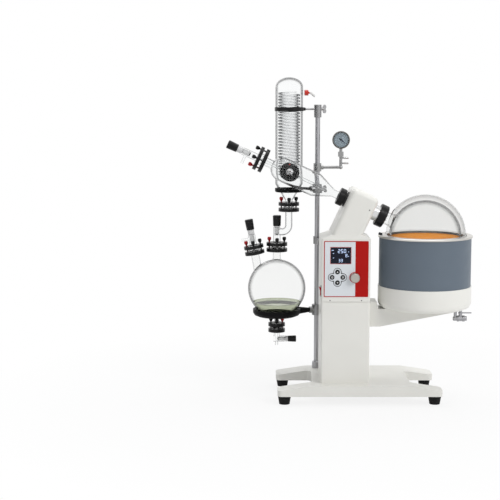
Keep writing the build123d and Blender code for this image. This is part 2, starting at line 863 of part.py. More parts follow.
with BuildPart() as condenser_jacket:
    revolve(jacket_half(0), axis=Axis(condenser_plane.origin, (0, 0, 1)))
    bar(condenser_plane, outlet_joint_z, outlet_joint_z + flange_thickness, outlet_tube_radius + flange_lip)
    bar(port_plane, port_joint_y, condenser_reach, port_radius)
    bar(port_plane, port_joint_y, port_joint_y + flange_thickness, port_radius + flange_lip)
    for nozzle_plane in (top_nozzle_plane, low_nozzle_plane):
        bar(nozzle_plane, 0, nozzle_end, nozzle_radius)
    revolve(jacket_half(condenser_wall), axis=Axis(condenser_plane.origin, (0, 0, 1)), mode=Mode.SUBTRACT)
    bar(port_plane, port_joint_y - 1, condenser_reach, port_radius - glass_wall, mode=Mode.SUBTRACT)
    bar(
        condenser_plane,
        outlet_joint_z - 1,
        funnel_end,
        outlet_tube_radius - glass_wall,
        mode=Mode.SUBTRACT,
    )
    for nozzle_plane in (top_nozzle_plane, low_nozzle_plane):
        bar(nozzle_plane, 0, nozzle_end + 1, hose_tip_radius, mode=Mode.SUBTRACT)
    # tails that join the coil's ends to the jacket's wall
    tail_length = sqrt((condenser_radius - condenser_wall / 2) ** 2 - (coil_radius + coil_tube_radius) ** 2)
    for tail_z, angle, way in ((coil_start_z, 0, -1), (coil_end_z, 360 * coil_turns, 1)):
        tail_x = condenser_x + coil_radius * cos(radians(angle))
        tail_y = condenser_y + coil_radius * sin(radians(angle))
        along = Vector(-sin(radians(angle)), cos(radians(angle)), 0) * way
        with BuildSketch(Plane(origin=Vector(tail_x, tail_y, tail_z) + along * seat_gap, z_dir=along)):
            Circle(coil_tube_radius)
        extrude(amount=tail_length)
save(condenser_jacket, "condenser_jacket")

# Condenser coil: a glass helix between the two coolant tails
with BuildPart() as condenser_coil:
    with BuildLine() as coil_line:
        coil_foot = (condenser_x, condenser_y, coil_start_z)
        Helix(coil_pitch, coil_pitch * coil_turns, coil_radius, center=coil_foot)
    with BuildSketch(Plane(origin=coil_line.line @ 0, z_dir=coil_line.line % 0)):
        Circle(coil_tube_radius)
    sweep(path=coil_line.line, is_frenet=True)
save(condenser_coil, "condenser_coil")

# Coolant caps: screw caps with bent hose tips, one on each nozzle
with BuildPart() as coolant_caps:
    for nozzle_plane in (top_nozzle_plane, low_nozzle_plane):
        cap_end = nozzle_end + coolant_cap_length - 10
        cap_seat = nozzle_end + seat_gap
        tube(nozzle_plane, nozzle_end - 10, cap_seat, coolant_cap_radius, nozzle_radius + seat_gap)
        bar(nozzle_plane, cap_seat, cap_end, coolant_cap_radius)
        tip_start = nozzle_plane.origin + nozzle_plane.x_dir * (cap_end - 1)
        tip_bend = nozzle_plane.origin + nozzle_plane.x_dir * (cap_end + 9)
        tip_dir = nozzle_plane.x_dir * cos(radians(hose_tip_bend)) - Vector(0, 0, sin(radians(hose_tip_bend)))
        tip_end = tip_bend + tip_dir * hose_tip_length
        with BuildLine() as tip_line:
            FilletPolyline(tip_start, tip_bend, tip_end, radius=10)
        with BuildSketch(Plane(origin=tip_start, z_dir=nozzle_plane.x_dir)):
            Circle(hose_tip_radius)
        sweep(path=tip_line.line)
save(coolant_caps, "coolant_caps")

# Gas valves: glass bodies with a side nozzle on the vapour head's feed neck and on the receiver
feed_plane = turning_plane(on_spindle(feed_joint), spindle_dir * -1)
vacuum_dir = Vector(-sin(radians(vacuum_tilt)), 0, cos(radians(vacuum_tilt)))
vacuum_origin = Vector(receiver_x - vacuum_offset, condenser_y, receiver_joint_z - vacuum_joint_drop)
vacuum_plane = turning_plane(vacuum_origin, vacuum_dir)
feed_body_length = 78
vacuum_body_length = 62
stem_depth = 34
gas_bore = 4
feed_tube_radius = 5.5
feed_tube_length = 272    # into the vapour head
side_nozzle_radius = 5
side_nozzle_reach = 44
side_nozzle_drop = 16
nozzle_root = 3


# Flange, tube and stem bore of a glass valve in the current part
def valve_body(plane, length):
    bar(plane, 0, flange_thickness, feed_neck_radius + flange_lip)
    bar(plane, 0, length, valve_radius)
    bar(plane, -1, length - 1, gas_bore, mode=Mode.SUBTRACT)
    bar(plane, length - stem_depth, length + 1, stem_radius + moving_gap, mode=Mode.SUBTRACT)


with BuildPart() as gas_valve_bodies:
    for valve_plane, length in ((feed_plane, feed_body_length), (vacuum_plane, vacuum_body_length)):
        valve_body(valve_plane, length)
        nozzle_origin = valve_plane.origin + valve_plane.x_dir * (length - side_nozzle_drop)
        nozzle_plane = turning_plane(nozzle_origin, valve_plane.y_dir)
        bar(nozzle_plane, valve_radius - 2, side_nozzle_reach, side_nozzle_radius)
        bar(nozzle_plane, valve_radius - 2, valve_radius + nozzle_root, side_nozzle_radius + 2)
        bar(nozzle_plane, stem_radius, side_nozzle_reach + 1, side_nozzle_radius - 2, mode=Mode.SUBTRACT)
    bar(feed_plane, -feed_tube_length, flange_thickness, feed_tube_radius)
    bar(feed_plane, -feed_tube_length - 1, flange_thickness + 1, gas_bore, mode=Mode.SUBTRACT)
save(gas_valve_bodies, "gas_valve_bodies")

# Outlet elbow: glass elbow below the condenser with the receiver's valve tube
valve_plane_z = turning_plane((receiver_x, condenser_y, receiver_joint_z), (0, 0, 1))
receiver_body_length = receiver_joint_drop + elbow_radius + 4
elbow_points = [
    (condenser_x, condenser_y, outlet_joint_z),
    (condenser_x, condenser_y, elbow_z),
    (receiver_x, condenser_y, elbow_z),
]


# A bent round bar through the elbow's points in the current part
def elbow_bar(radius, mode=Mode.ADD):
    with BuildLine() as elbow_line:
        FilletPolyline(*elbow_points, radius=elbow_bend)
    with BuildSketch(Plane(origin=elbow_points[0], z_dir=(0, 0, -1))) as elbow_section:
        Circle(radius)
    sweep(elbow_section.sketch, path=elbow_line.line, mode=mode)


with BuildPart() as outlet_elbow:
    elbow_bar(elbow_radius)
    bar(valve_plane_z, 0, receiver_body_length, valve_radius)
    bar(valve_plane_z, 0, flange_thickness, receiver_neck_radius + flange_lip)
    bar(
        condenser_plane,
        outlet_joint_z - flange_thickness,
        outlet_joint_z,
        outlet_tube_radius + flange_lip,
    )
    bar(valve_plane_z, -1, receiver_body_length - 1, gas_bore, mode=Mode.SUBTRACT)
    bar(
        valve_plane_z,
        receiver_joint_drop - elbow_radius,
        receiver_body_length + 1,
        stem_radius + moving_gap,
        mode=Mode.SUBTRACT,
    )
    elbow_bar(elbow_radius - glass_wall, mode=Mode.SUBTRACT)
save(outlet_elbow, "outlet_elbow")

# Receiving flask: sphere with a middle neck, a leaning vacuum neck and a bottom outlet
with BuildPart() as receiving_flask:
    bulb(
        receiver_plane,
        receiver_z,
        receiver_radius,
        [(receiver_joint_z, receiver_neck_radius), (drain_joint_z, drain_tube_radius)],
        receiver_flare,
    )
    bar(vacuum_plane, -vacuum_offset, 0, feed_neck_radius)
    bar(vacuum_plane, -flange_thickness, 0, feed_neck_radius + flange_lip)
    bar(
        receiver_plane,
        receiver_joint_z - flange_thickness,
        receiver_joint_z,
        receiver_neck_radius + flange_lip,
    )
    bar(receiver_plane, drain_joint_z, drain_joint_z + flange_thickness, drain_tube_radius + flange_lip)
    bulb(
        receiver_plane,
        receiver_z,
        receiver_radius - receiver_wall,
        [
            (receiver_joint_z + 1, receiver_neck_radius - glass_wall),
            (drain_joint_z - 1, drain_tube_radius - glass_wall),
        ],
        receiver_flare + receiver_wall,
        mode=Mode.SUBTRACT,
    )
    bar(vacuum_plane, -vacuum_offset, 1, feed_neck_radius - glass_wall, mode=Mode.SUBTRACT)
save(receiving_flask, "receiving_flask")

# Drain cock: vertical tube into a cross barrel with a short spout
cock_plane = turning_plane((receiver_x, condenser_y, cock_z), (1, 0, 0))
drain_plane = turning_plane((receiver_x, condenser_y, drain_joint_z), (0, 0, -1))
barrel_start = -13
barrel_end = 32
cock_bore_start = 1
spout_reach = drain_cock_drop + 26
with BuildPart() as drain_cock:
    bar(drain_plane, 0, drain_cock_drop, drain_tube_radius)
    bar(drain_plane, 0, flange_thickness, drain_tube_radius + flange_lip)
    bar(cock_plane, barrel_start, barrel_end, drain_barrel_radius)
    bar(drain_plane, drain_cock_drop, spout_reach, 6)
    bar(drain_plane, -1, spout_reach + 1, 4, mode=Mode.SUBTRACT)
    bar(cock_plane, cock_bore_start, barrel_end + 1, drain_stem_radius + moving_gap, mode=Mode.SUBTRACT)
save(drain_cock, "drain_cock")


# Valve key: smooth stem, a collar outside the glass and a cap turned by hand, in the current part
def valve_key(plane, stem_start, collar_start, cap_start, stem, cap, length):
    cap_end = cap_start + length
    turn(
        plane,
        (stem_start, 0),
        (stem_start, stem / 2),
        (stem_start + stem / 2, stem),
        (collar_start, stem),
        (collar_start, stem + collar_step),
        (cap_start, stem + collar_step),
        (cap_start, cap - cap_flare - 1),
        (cap_start + 1, cap - cap_flare),
        (cap_end - 2, cap),
        (cap_end, cap - 2),
        (cap_end, 0),
    )
    flute_start = plane.origin + plane.x_dir * (cap_start + 6)
    with BuildSketch(cross_plane(flute_start, plane.x_dir, plane.y_dir)) as flutes:
        with PolarLocations(cap + 1.2, cap_flutes):
            Circle(2)
    extrude(flutes.sketch, amount=length, mode=Mode.SUBTRACT)


key_clear = 2             # stem's end above the bottom of its bore, collar's end above the glass
feed_key_start = feed_body_length - stem_depth + key_clear
vacuum_key_start = vacuum_body_length - stem_depth + key_clear
receiver_key_start = receiver_joint_drop - elbow_radius + key_clear
with BuildPart() as feed_valve_key:
    feed_collar = feed_body_length + key_clear
    feed_cap_start = feed_body_length + 22
    valve_key(feed_plane, feed_key_start, feed_collar, feed_cap_start, stem_radius, cap_radius, cap_length)
save(feed_valve_key, "feed_valve_key")

with BuildPart() as vacuum_valve_key:
    vacuum_collar = vacuum_body_length + key_clear
    vacuum_cap = vacuum_body_length + 19
    valve_key(vacuum_plane, vacuum_key_start, vacuum_collar, vacuum_cap, stem_radius, cap_radius, cap_length)
save(vacuum_valve_key, "vacuum_valve_key")

with BuildPart() as receiver_valve_key:
    receiver_collar = receiver_body_length + key_clear
    receiver_cap = receiver_body_length + 6
    valve_key(
        valve_plane_z, receiver_key_start, receiver_collar, receiver_cap, stem_radius, cap_radius, cap_length
    )
save(receiver_valve_key, "receiver_valve_key")

with BuildPart() as drain_valve_key:
    drain_key_start = cock_bore_start + key_clear
    drain_collar = barrel_end + key_clear
    drain_cap = barrel_end + 13
    valve_key(
        cock_plane,
        drain_key_start,
        drain_collar,
        drain_cap,
        drain_stem_radius,
        drain_cap_radius,
        drain_cap_length,
    )
save(drain_valve_key, "drain_valve_key")

# Clamped joints: centre, way the thumb screws face, direction of the red screw, plate radius, tube radius,
# height of the screw heads
side_turn = radians(30)
aside = cos(side_turn)
behind = Vector(0, sin(side_turn), 0)
left_side = Vector(-aside, 0, 0) + behind
right_side = Vector(aside, 0, 0) + behind
feed_side = behind - spindle_up * aside
vacuum_side = behind - vacuum_dir.cross(Vector(0, -1, 0)) * aside
clamp_joints = [
    (feed_plane.origin, feed_plane.x_dir, feed_side, 49, feed_neck_radius, thumb_height),
    (
        port + Vector(0, port_joint_y, 0),
        Vector(0, 1, 0),
        Vector(0, 0, 1),
        40,
        port_radius,
        port_screw_height,
    ),
    (
        Vector(condenser_x, condenser_y, outlet_joint_z),
        Vector(0, 0, 1),
        left_side,
        43,
        outlet_tube_radius,
        thumb_height,
    ),
    (
        valve_plane_z.origin,
        Vector(0, 0, 1),
        left_side,
        43.5,
        receiver_neck_radius,
        thumb_height,
    ),
    (vacuum_origin, vacuum_dir, vacuum_side, 41, feed_neck_radius, thumb_height),
    (
        Vector(receiver_x, condenser_y, drain_joint_z),
        Vector(0, 0, 1),
        right_side,
        35.5,
        drain_tube_radius,
        thumb_height,
    ),
]
plate_far = flange_thickness + plate_thickness
stud_inset = 9

with BuildPart() as clamp_plates:
    for centre, way, red_dir, plate_radius, tube_radius, head in clamp_joints:
        plate_plane = cross_plane(centre, way, red_dir)
        for start in (flange_thickness, -plate_far):
            with BuildSketch(plate_plane.offset(start)):
                Circle(plate_radius - 2)
                with PolarLocations(plate_radius - plate_lobe_radius, 3):
                    Circle(plate_lobe_radius)
                Circle(tube_radius + seat_gap, mode=Mode.SUBTRACT)
                with PolarLocations(plate_radius - stud_inset, 3):
                    Circle(stud_radius + seat_gap / 2, mode=Mode.SUBTRACT)
            extrude(amount=plate_thickness)
save(clamp_plates, "clamp_plates")


# A thumb screw through both plates of a joint, in the current part
def thumb_screw(joint, number):
    centre, way, red_dir, plate_radius, tube_radius, head = joint
    plate_plane = cross_plane(centre, way, red_dir)
    angle = radians(120 * number)
    offset_dir = plate_plane.x_dir * cos(angle) + plate_plane.y_dir * sin(angle)
    turn(
        turning_plane(centre + offset_dir * (plate_radius - stud_inset), way),
        (-plate_far, 0),
        (-plate_far, stud_radius),
        (plate_far + 0.15 * head, stud_radius),
        (plate_far + 0.3 * head, 0.7 * thumb_radius),
        (plate_far + 0.55 * head, thumb_radius),
        (plate_far + 0.85 * head, thumb_radius),
        (plate_far + head, 0.7 * thumb_radius),
        (plate_far + head, 0),
    )


with BuildPart() as red_thumb_screws:
    for clamp_joint in clamp_joints:
        thumb_screw(clamp_joint, 0)
save(red_thumb_screws, "red_thumb_screws")

with BuildPart() as black_thumb_screws:
    for clamp_joint in clamp_joints:
        thumb_screw(clamp_joint, 1)
        thumb_screw(clamp_joint, 2)
save(black_thumb_screws, "black_thumb_screws")

# Support rod with its foot flange on the rear bar
with BuildPart() as support_rod:
    bar(rod_plane, base_top, rod_top, rod_radius)
    turn(
        rod_plane,
        (base_top, 0),
        (base_top, rod_foot_radius),
        (base_top + rod_foot_height - 3, rod_foot_radius),
        (base_top + rod_foot_height, rod_foot_radius - 3),
        (base_top + rod_foot_height, 0),
    )
save(support_rod, "support_rod")

# Rod stay: a bracket on the rear cover with a collar round the rod
stay_plate_width = 56
stay_plate_thickness = 4
stay_web_width = 10
stay_web_offset = 1
stay_wall = 5
with BuildPart() as rod_stay:
    stay_low = stay_z - stay_height / 2
    stay_high = stay_z + stay_height / 2
    stay_face = cover_y + sheet
    stay_plate = (stay_plate_left + stay_plate_width, stay_face + stay_plate_thickness, stay_high)
    block((stay_plate_left, stay_face, stay_low), stay_plate)
    stay_web_left = rod_x - stay_web_offset
    stay_web_right = stay_web_left + stay_web_width
    block((stay_web_left, stay_face, stay_low + stay_wall), (stay_web_right, rod_y, stay_high - stay_wall))
    bar(rod_plane, stay_low, stay_high, rod_radius + stay_wall)
    bar(rod_plane, stay_low - 1, stay_high + 1, rod_radius + seat_gap / 2, mode=Mode.SUBTRACT)
save(rod_stay, "rod_stay")

# Condenser ring: a ring under the jacket's funnel with an arm towards the rod
rod_angle = atan2(rod_dy, rod_dx)
rod_distance = hypot(rod_dx, rod_dy)
ring_top = jacket_end - 16
ring_height = 15
ring_z = ring_top - ring_height / 2
funnel_slope = (condenser_radius - outlet_tube_radius) / (jacket_end - funnel_end)


# Radius of the jacket's funnel at a height
def funnel_radius(height):
    return outlet_tube_radius + (height - funnel_end) * funnel_slope


condenser_arm = turning_plane((condenser_x, condenser_y, ring_z), (cos(rod_angle), sin(rod_angle), 0))
with BuildPart() as condenser_ring:
    turn(
        condenser_plane,
        (ring_top - ring_height, funnel_radius(ring_top - ring_height) + 2 * seat_gap),
        (ring_top - ring_height, condenser_radius - 2),
        (ring_top - ring_height + 3, condenser_radius + 1),
        (ring_top, condenser_radius + 1),
        (ring_top, funnel_radius(ring_top) + 2 * seat_gap),
    )
    bar(condenser_arm, condenser_radius - 3, rod_distance - clamp_boss_radius + 6, clamp_arm_radius)
save(condenser_ring, "condenser_ring")

# Receiver ring: a dished ring under the receiving flask with an arm towards the rod
receiver_dx = rod_x - receiver_x
receiver_angle = atan2(rod_dy, receiver_dx)
receiver_distance = hypot(rod_dy, receiver_dx)
ring_outer = 95
ring_inner = 66
ring_drop = 84            # below the receiving flask's centre
ring_height = 29
ring_bevel = 8
ring_foot = 6
ring_side = 14
ring_crown = 3
ring_arm_drop = 11
ring_arm_root = 4
ring_arm_flare = 8
ring_arm_tip = 2
receiver_ring_top = receiver_z - ring_drop
receiver_ring_low = receiver_ring_top - ring_height
receiver_arm_z = receiver_ring_top - ring_arm_drop
ring_arm_gap = 1
clamp_socket = 12
clamp_seat = 6
clamp_wall = 6
receiver_arm = turning_plane(
    (receiver_x, condenser_y, receiver_arm_z), (cos(receiver_angle), sin(receiver_angle), 0)
)
with BuildPart() as receiver_ring:
    turn(
        receiver_plane,
        (receiver_ring_low + ring_bevel, ring_inner),
        (receiver_ring_low, ring_inner + ring_bevel),
        (receiver_ring_low + ring_foot, ring_outer - ring_foot),
        (receiver_ring_top - ring_side, ring_outer),
        (receiver_ring_top, ring_outer),
        (receiver_ring_top + ring_crown, ring_inner),
    )
    arm_start = ring_outer - ring_arm_root
    arm_stop = receiver_distance - clamp_boss_radius - clamp_socket - ring_arm_gap
    bar(receiver_arm, arm_start, receiver_distance - clamp_boss_radius + clamp_seat, clamp_arm_radius)
    turn(
        receiver_arm,
        (arm_start, 0),
        (arm_start, clamp_arm_radius + ring_arm_flare),
        (arm_stop, clamp_arm_radius + ring_arm_tip),
        (arm_stop, 0),
    )
    with Locations(receiver_centre):
        Sphere(receiver_radius + seat_gap, mode=Mode.SUBTRACT)
save(receiver_ring, "receiver_ring")

# Condenser strap: a band round the jacket with a lug for the top clamp's bar
strap_arm = turning_plane((condenser_x, condenser_y, strap_z), (cos(rod_angle), sin(rod_angle), 0))
strap_outer = condenser_radius + strap_thickness
with BuildPart() as condenser_strap:
    bar(condenser_plane, strap_z - strap_height / 2, strap_z + strap_height / 2, strap_outer)
    bar(strap_arm, condenser_radius, strap_outer + 12, strap_height / 2 - 1)
    bar(
        condenser_plane,
        strap_z - strap_height,
        strap_z + strap_height,
        condenser_radius + seat_gap,
        mode=Mode.SUBTRACT,
    )
    bar(strap_arm, strap_outer, strap_outer + 13, 4 + seat_gap / 2, mode=Mode.SUBTRACT)
save(condenser_strap, "condenser_strap")

# Rod clamps: bosses on the rod for the strap's bar, the condenser ring and the receiver ring
rod_clamp_arms = [(condenser_arm, rod_distance, ring_z), (receiver_arm, receiver_distance, receiver_arm_z)]
top_clamp_low = rod_top - top_clamp_height / 2
with BuildPart() as rod_clamps:
    for arm_plane, distance, height in rod_clamp_arms:
        bar(rod_plane, height - clamp_boss_height / 2, height + clamp_boss_height / 2, clamp_boss_radius)
        bar(arm_plane, distance - clamp_boss_radius - clamp_socket, distance, clamp_arm_radius + clamp_wall)
        bar(arm_plane, distance, distance + clamp_boss_radius + 4, clamp_arm_radius + 3)
        bar(
            arm_plane,
            distance - clamp_boss_radius - clamp_socket - 1,
            distance - clamp_boss_radius + clamp_seat + seat_gap,
            clamp_arm_radius + seat_gap / 2,
            mode=Mode.SUBTRACT,
        )
        bar(arm_plane, distance + rod_radius, distance + 40, stud_radius + seat_gap / 2, mode=Mode.SUBTRACT)
        bar(rod_plane, height - 30, height + 30, rod_radius + seat_gap / 2, mode=Mode.SUBTRACT)
    bar(rod_plane, top_clamp_low, top_clamp_low + top_clamp_height, rod_radius + 5)
    bar(strap_arm, strap_outer + seat_gap, rod_distance, 4)
    bar(strap_arm, rod_distance, rod_distance + rod_radius + 8, 6)
    bar(rod_plane, top_clamp_low - 1, rod_top + seat_gap, rod_radius + seat_gap / 2, mode=Mode.SUBTRACT)
    stud_bore = stud_radius + seat_gap / 2
    bar(strap_arm, rod_distance + rod_radius, rod_distance + 40, stud_bore, mode=Mode.SUBTRACT)
save(rod_clamps, "rod_clamps")

# Clamp screws: wing screws that press on the rod
with BuildPart() as clamp_screws:
    for arm_plane, distance, hub in (
        (condenser_arm, rod_distance, clamp_boss_radius + 4),
        (receiver_arm, receiver_distance, clamp_boss_radius + 4),
        (strap_arm, rod_distance, rod_radius + 8),
    ):
        bar(arm_plane, distance + rod_radius + seat_gap, distance + hub + 4, stud_radius)
        tube(arm_plane, distance + hub, distance + hub + 6, 6, 0)
        wing_centre = arm_plane.origin + arm_plane.x_dir * (distance + hub + 10)
        with BuildSketch(Plane(origin=wing_centre, x_dir=arm_plane.x_dir, z_dir=arm_plane.y_dir)):
            with Locations((2, 8), (2, -8)):
                Ellipse(7, 9)
            Rectangle(12, 12)
        extrude(amount=2.5, both=True)
save(clamp_screws, "clamp_screws")

# Gauge manifold: a tee on the rod, pipe and elbow up to the gauge, two hose barbs
gauge_x = rod_x + gauge_reach
gauge_low = gauge_z - gauge_radius
hex_bottom = gauge_low - 32
hex_height = 20
barb_length = 26
manifold_plane = turning_plane((rod_x, rod_y, gauge_pipe_z), (1, 0, 0))
riser_plane = turning_plane((gauge_x, rod_y, 0), (0, 0, 1))
with BuildPart() as gauge_manifold:
    bar(rod_plane, gauge_pipe_z - 16, gauge_pipe_z + 16, rod_radius + 6)
    bar(manifold_plane, 0, rod_radius + 14, gauge_pipe_radius + 3)
    bar(manifold_plane, 0, gauge_reach, gauge_pipe_radius)
    with Locations((gauge_x, rod_y, gauge_pipe_z)):
        Sphere(gauge_pipe_radius + 2)
    bar(riser_plane, gauge_pipe_z, gauge_low - 2, gauge_pipe_radius)
    with BuildSketch(Plane(origin=(gauge_x, rod_y, hex_bottom), x_dir=(1, 0, 0), z_dir=(0, 0, 1))):
        RegularPolygon(11, 6)
    extrude(amount=hex_height)
    for barb_z in (gauge_pipe_z + 16, gauge_pipe_z + 37):
        barb_plane = turning_plane((gauge_x, rod_y, barb_z), (1, 0, 0))
        bar(barb_plane, 0, gauge_pipe_radius + barb_length, 3)
        for step in range(3):
            start = gauge_pipe_radius + 8 + 6 * step
            turn(barb_plane, (start, 0), (start, 4.5), (start + 6, 3), (start + 6, 0))
    bar(rod_plane, gauge_pipe_z - 17, gauge_pipe_z + 17, rod_radius + seat_gap / 2, mode=Mode.SUBTRACT)
save(gauge_manifold, "gauge_manifold")

# Gauge case: round case with a rolled bezel, a dial recess, a pin for the pointer and a stem below
gauge_front = rod_y - gauge_depth / 2
gauge_plane = turning_plane((gauge_x, gauge_front, gauge_z), (0, 1, 0))
pin_radius = 1.2
with BuildPart() as gauge_case:
    turn(
        gauge_plane,
        (gauge_recess, 0),
        (gauge_recess, gauge_radius - 5),
        (2, gauge_radius - 5),
        (0, gauge_radius - 4),
        (0, gauge_radius - 1.5),
        (1.5, gauge_radius),
        (7.5, gauge_radius),
        (8.5, gauge_radius - 2),
        (gauge_depth - 3, gauge_radius - 2),
        (gauge_depth, gauge_radius - 5),
        (gauge_depth, 0),
    )
    bar(gauge_plane, 2.5, gauge_recess + 1, pin_radius)
    bar(riser_plane, gauge_low - 2, gauge_z - gauge_radius + 8, gauge_pipe_radius)
save(gauge_case, "gauge_case")

# Gauge pointer: a thin tapered needle on the pin
pointer_angle = radians(-40)
with BuildPart() as gauge_pointer:
    pointer_plane = Plane(
        origin=(gauge_x, gauge_front + 3.2, gauge_z),
        x_dir=(cos(pointer_angle), 0, sin(pointer_angle)),
        z_dir=(0, -1, 0),
    )
    with BuildSketch(pointer_plane):
        with BuildLine():
            Polyline((gauge_radius - 9, 0), (0, 1.8), (-9, 1.2), (-9, -1.2), (0, -1.8), close=True)
        make_face()
        Circle(3.2)
        Circle(pin_radius + running_gap, mode=Mode.SUBTRACT)
    extrude(amount=-1)
    with BuildSketch(pointer_plane):
        Circle(3.2)
        Circle(pin_radius + running_gap, mode=Mode.SUBTRACT)
    extrude(amount=3.2 + seat_gap - gauge_recess)
save(gauge_pointer, "gauge_pointer")

# Bath arm: a channel under the bath with a sliding carriage on the guide rods
carriage_left = piston_x - 18
carriage_right = column_x + 44
carriage_low = arm_top - 88
arm_half = arm_width / 2
knee_x = column_right + 42
pan_edge_x = bath_x - pan_radius
with BuildPart() as bath_arm:
    with BuildSketch(Plane(origin=(0, bath_y, 0), x_dir=(1, 0, 0), z_dir=(0, -1, 0))) as arm_side:
        with BuildLine():
            Polyline(
                (carriage_right, arm_bottom),
                (knee_x, arm_bottom),
                (arm_tip_x, pan_bottom - 13),
                (arm_tip_x, pan_bottom),
                (pan_edge_x - 3, pan_bottom),
                (pan_edge_x - 7, arm_top),
                (carriage_right, arm_top),
                close=True,
            )
        make_face()
    extrude(amount=arm_half, both=True)
    with BuildSketch(Plane(origin=(0, bath_y, 0), x_dir=(1, 0, 0), z_dir=(0, -1, 0))):
        with BuildLine():
            Polyline(
                (carriage_right + 6, arm_bottom - 20),
                (arm_tip_x - 20, arm_bottom - 20),
                (arm_tip_x - 20, pan_bottom - arm_sheet),
                (pan_edge_x - 3, pan_bottom - arm_sheet),
                (pan_edge_x - 10, arm_top - arm_sheet),
                (carriage_right + 6, arm_top - arm_sheet),
                close=True,
            )
        make_face()
    extrude(amount=arm_half - arm_sheet, both=True, mode=Mode.SUBTRACT)
    block((carriage_left, bath_y - arm_half, carriage_low), (carriage_right, bath_y + arm_half, arm_top))
    for x, y in guide_places:
        bar(
            turning_plane((x, y, 0), (0, 0, 1)),
            carriage_low - 1,
            arm_top + 1,
            guide_radius + running_gap,
            mode=Mode.SUBTRACT,
        )
save(bath_arm, "bath_arm")

with BuildPart() as lift_piston:
    bar(actuator_plane, arm_top, actuator_top - 14, piston_radius)
save(lift_piston, "lift_piston")

# Bath pan: spun dish with a rounded bottom edge and a ledge for the wall
bath_plane = turning_plane((bath_x, bath_y, 0), (0, 0, 1))
with BuildPart() as bath_pan:
    turn(
        bath_plane,
        (pan_bottom, 0),
        (pan_bottom, pan_radius),
        (bath_wall_bottom, pan_radius),
        (bath_wall_bottom, bath_radius - 6),
        (bath_wall_bottom - 4, bath_radius - 6),
        (bath_wall_bottom - 4, pan_radius - pan_sheet),
        (pan_bottom + pan_sheet, pan_radius - pan_sheet),
        (pan_bottom + pan_sheet, 0),
    )
    bottom_edges = bath_pan.edges().filter_by(GeomType.CIRCLE).sort_by(Axis.Z)
    fillet(bottom_edges[0], pan_round)
    inner_z = pan_bottom + pan_sheet
    inner_edges = bath_pan.edges().filter_by_position(Axis.Z, inner_z - 0.1, inner_z + 0.1)
    fillet(inner_edges.filter_by(GeomType.CIRCLE), pan_round - pan_sheet)
save(bath_pan, "bath_pan")

with BuildPart() as bath_wall:
    tube(bath_plane, bath_wall_bottom, bath_top, bath_radius, bath_radius - bath_wall_sheet)
save(bath_wall, "bath_wall")

# Bath vessel: drawn pot with a broad flange and a rolled rim
with BuildPart() as bath_vessel:
    turn(
        bath_plane,
        (vessel_floor - vessel_sheet, 0),
        (vessel_floor - vessel_sheet, vessel_radius + vessel_sheet),
        (bath_top, vessel_radius + vessel_sheet),
        (bath_top, rim_radius - 1),
        (bath_top + 1, rim_radius),
        (bath_top + rim_height - 1.5, rim_radius),
        (bath_top + rim_height, rim_radius - 2),
        (bath_top + rim_height, vessel_radius + 1),
        (bath_top + rim_height - 1, vessel_radius),
        (vessel_floor, vessel_radius),
        (vessel_floor, 0),
    )
save(bath_vessel, "bath_vessel")

# Heater plate under the vessel's floor
with BuildPart() as bath_heater:
    tube(
        bath_plane,
        vessel_floor - vessel_sheet - heater_height,
        vessel_floor - vessel_sheet,
        vessel_radius - 22,
        45,
    )
save(bath_heater, "bath_heater")

# Bath drain: elbow under the pan and a small ball valve with a lever
drain_inset = 58
drain_x = bath_x + pan_radius - drain_inset
drain_drop = 46
valve_axis_z = pan_bottom - drain_drop
ball_body_length = 44
bath_drain_plane = turning_plane((drain_x, bath_y, 0), (0, 0, 1))
ball_plane = turning_plane((drain_x, bath_y, valve_axis_z), (1, 0, 0))
lever_x = drain_x + 20
lever_plane = turning_plane((lever_x, bath_y, 0), (0, 0, 1))
bonnet_top = valve_axis_z + 20
with BuildPart() as bath_drain_valve:
    turn(
        ball_plane,
        (-9, 0),
        (-9, 6),
        (-6, 9),
        (7, 9),
        (7, 12),
        (13, 12),
        (16, 10.5),
        (26, 10.5),
        (29, 12),
        (36, 12),
        (36, 9),
        (ball_body_length, 9),
        (ball_body_length, 5),
        (7, 5),
        (7, 0),
    )
    bar(bath_drain_plane, valve_axis_z + 2, pan_bottom, 6)
    turn(
        lever_plane,
        (valve_axis_z + 6, 0),
        (valve_axis_z + 6, 7),
        (bonnet_top, 7),
        (bonnet_top, 3),
        (bonnet_top + 12, 3),
        (bonnet_top + 12, 0),
    )
save(bath_drain_valve, "bath_drain_valve")

# Drain lever: a flat handle with a hub on the valve's stem
with BuildPart() as drain_lever:
    lever_low = bonnet_top + moving_gap
    with BuildSketch(Plane(origin=(lever_x, bath_y, lever_low), x_dir=(1, 0, 0), z_dir=(0, 0, 1))):
        Circle(9)
        with Locations((20, 0)):
            RectangleRounded(46, 9, 4)
        Circle(3 + running_gap, mode=Mode.SUBTRACT)
    extrude(amount=4)
    tube(lever_plane, lever_low, bonnet_top + 10, 6, 3 + running_gap)
save(drain_lever, "drain_lever")

# Splash dome: a hemisphere with a foot ring, cut away where the flask's neck passes
dome_base = bath_top + rim_height + 2 * seat_gap
with BuildPart() as splash_dome:
    with Locations((bath_x, bath_y, dome_base)):
        Sphere(dome_radius, arc_size1=0, align=(Align.CENTER, Align.CENTER, Align.MIN))
    bar(bath_plane, dome_base, dome_base + dome_foot, dome_radius + dome_foot)
    with Locations((bath_x, bath_y, dome_base)):
        Sphere(dome_radius - dome_wall, mode=Mode.SUBTRACT)
    notch_plane = Plane(origin=(bath_x, bath_y, dome_base - 1), x_dir=(0, -1, 0), z_dir=(-1, 0, 0))
    with BuildSketch(notch_plane) as notch:
        with Locations((0, dome_notch_height / 2)):
            Rectangle(dome_notch_width, dome_notch_height)
        fillet(notch.vertices().sort_by(Axis.Y)[2:], 0.45 * dome_notch_width)
    extrude(amount=dome_radius + 20, mode=Mode.SUBTRACT)
save(splash_dome, "splash_dome")

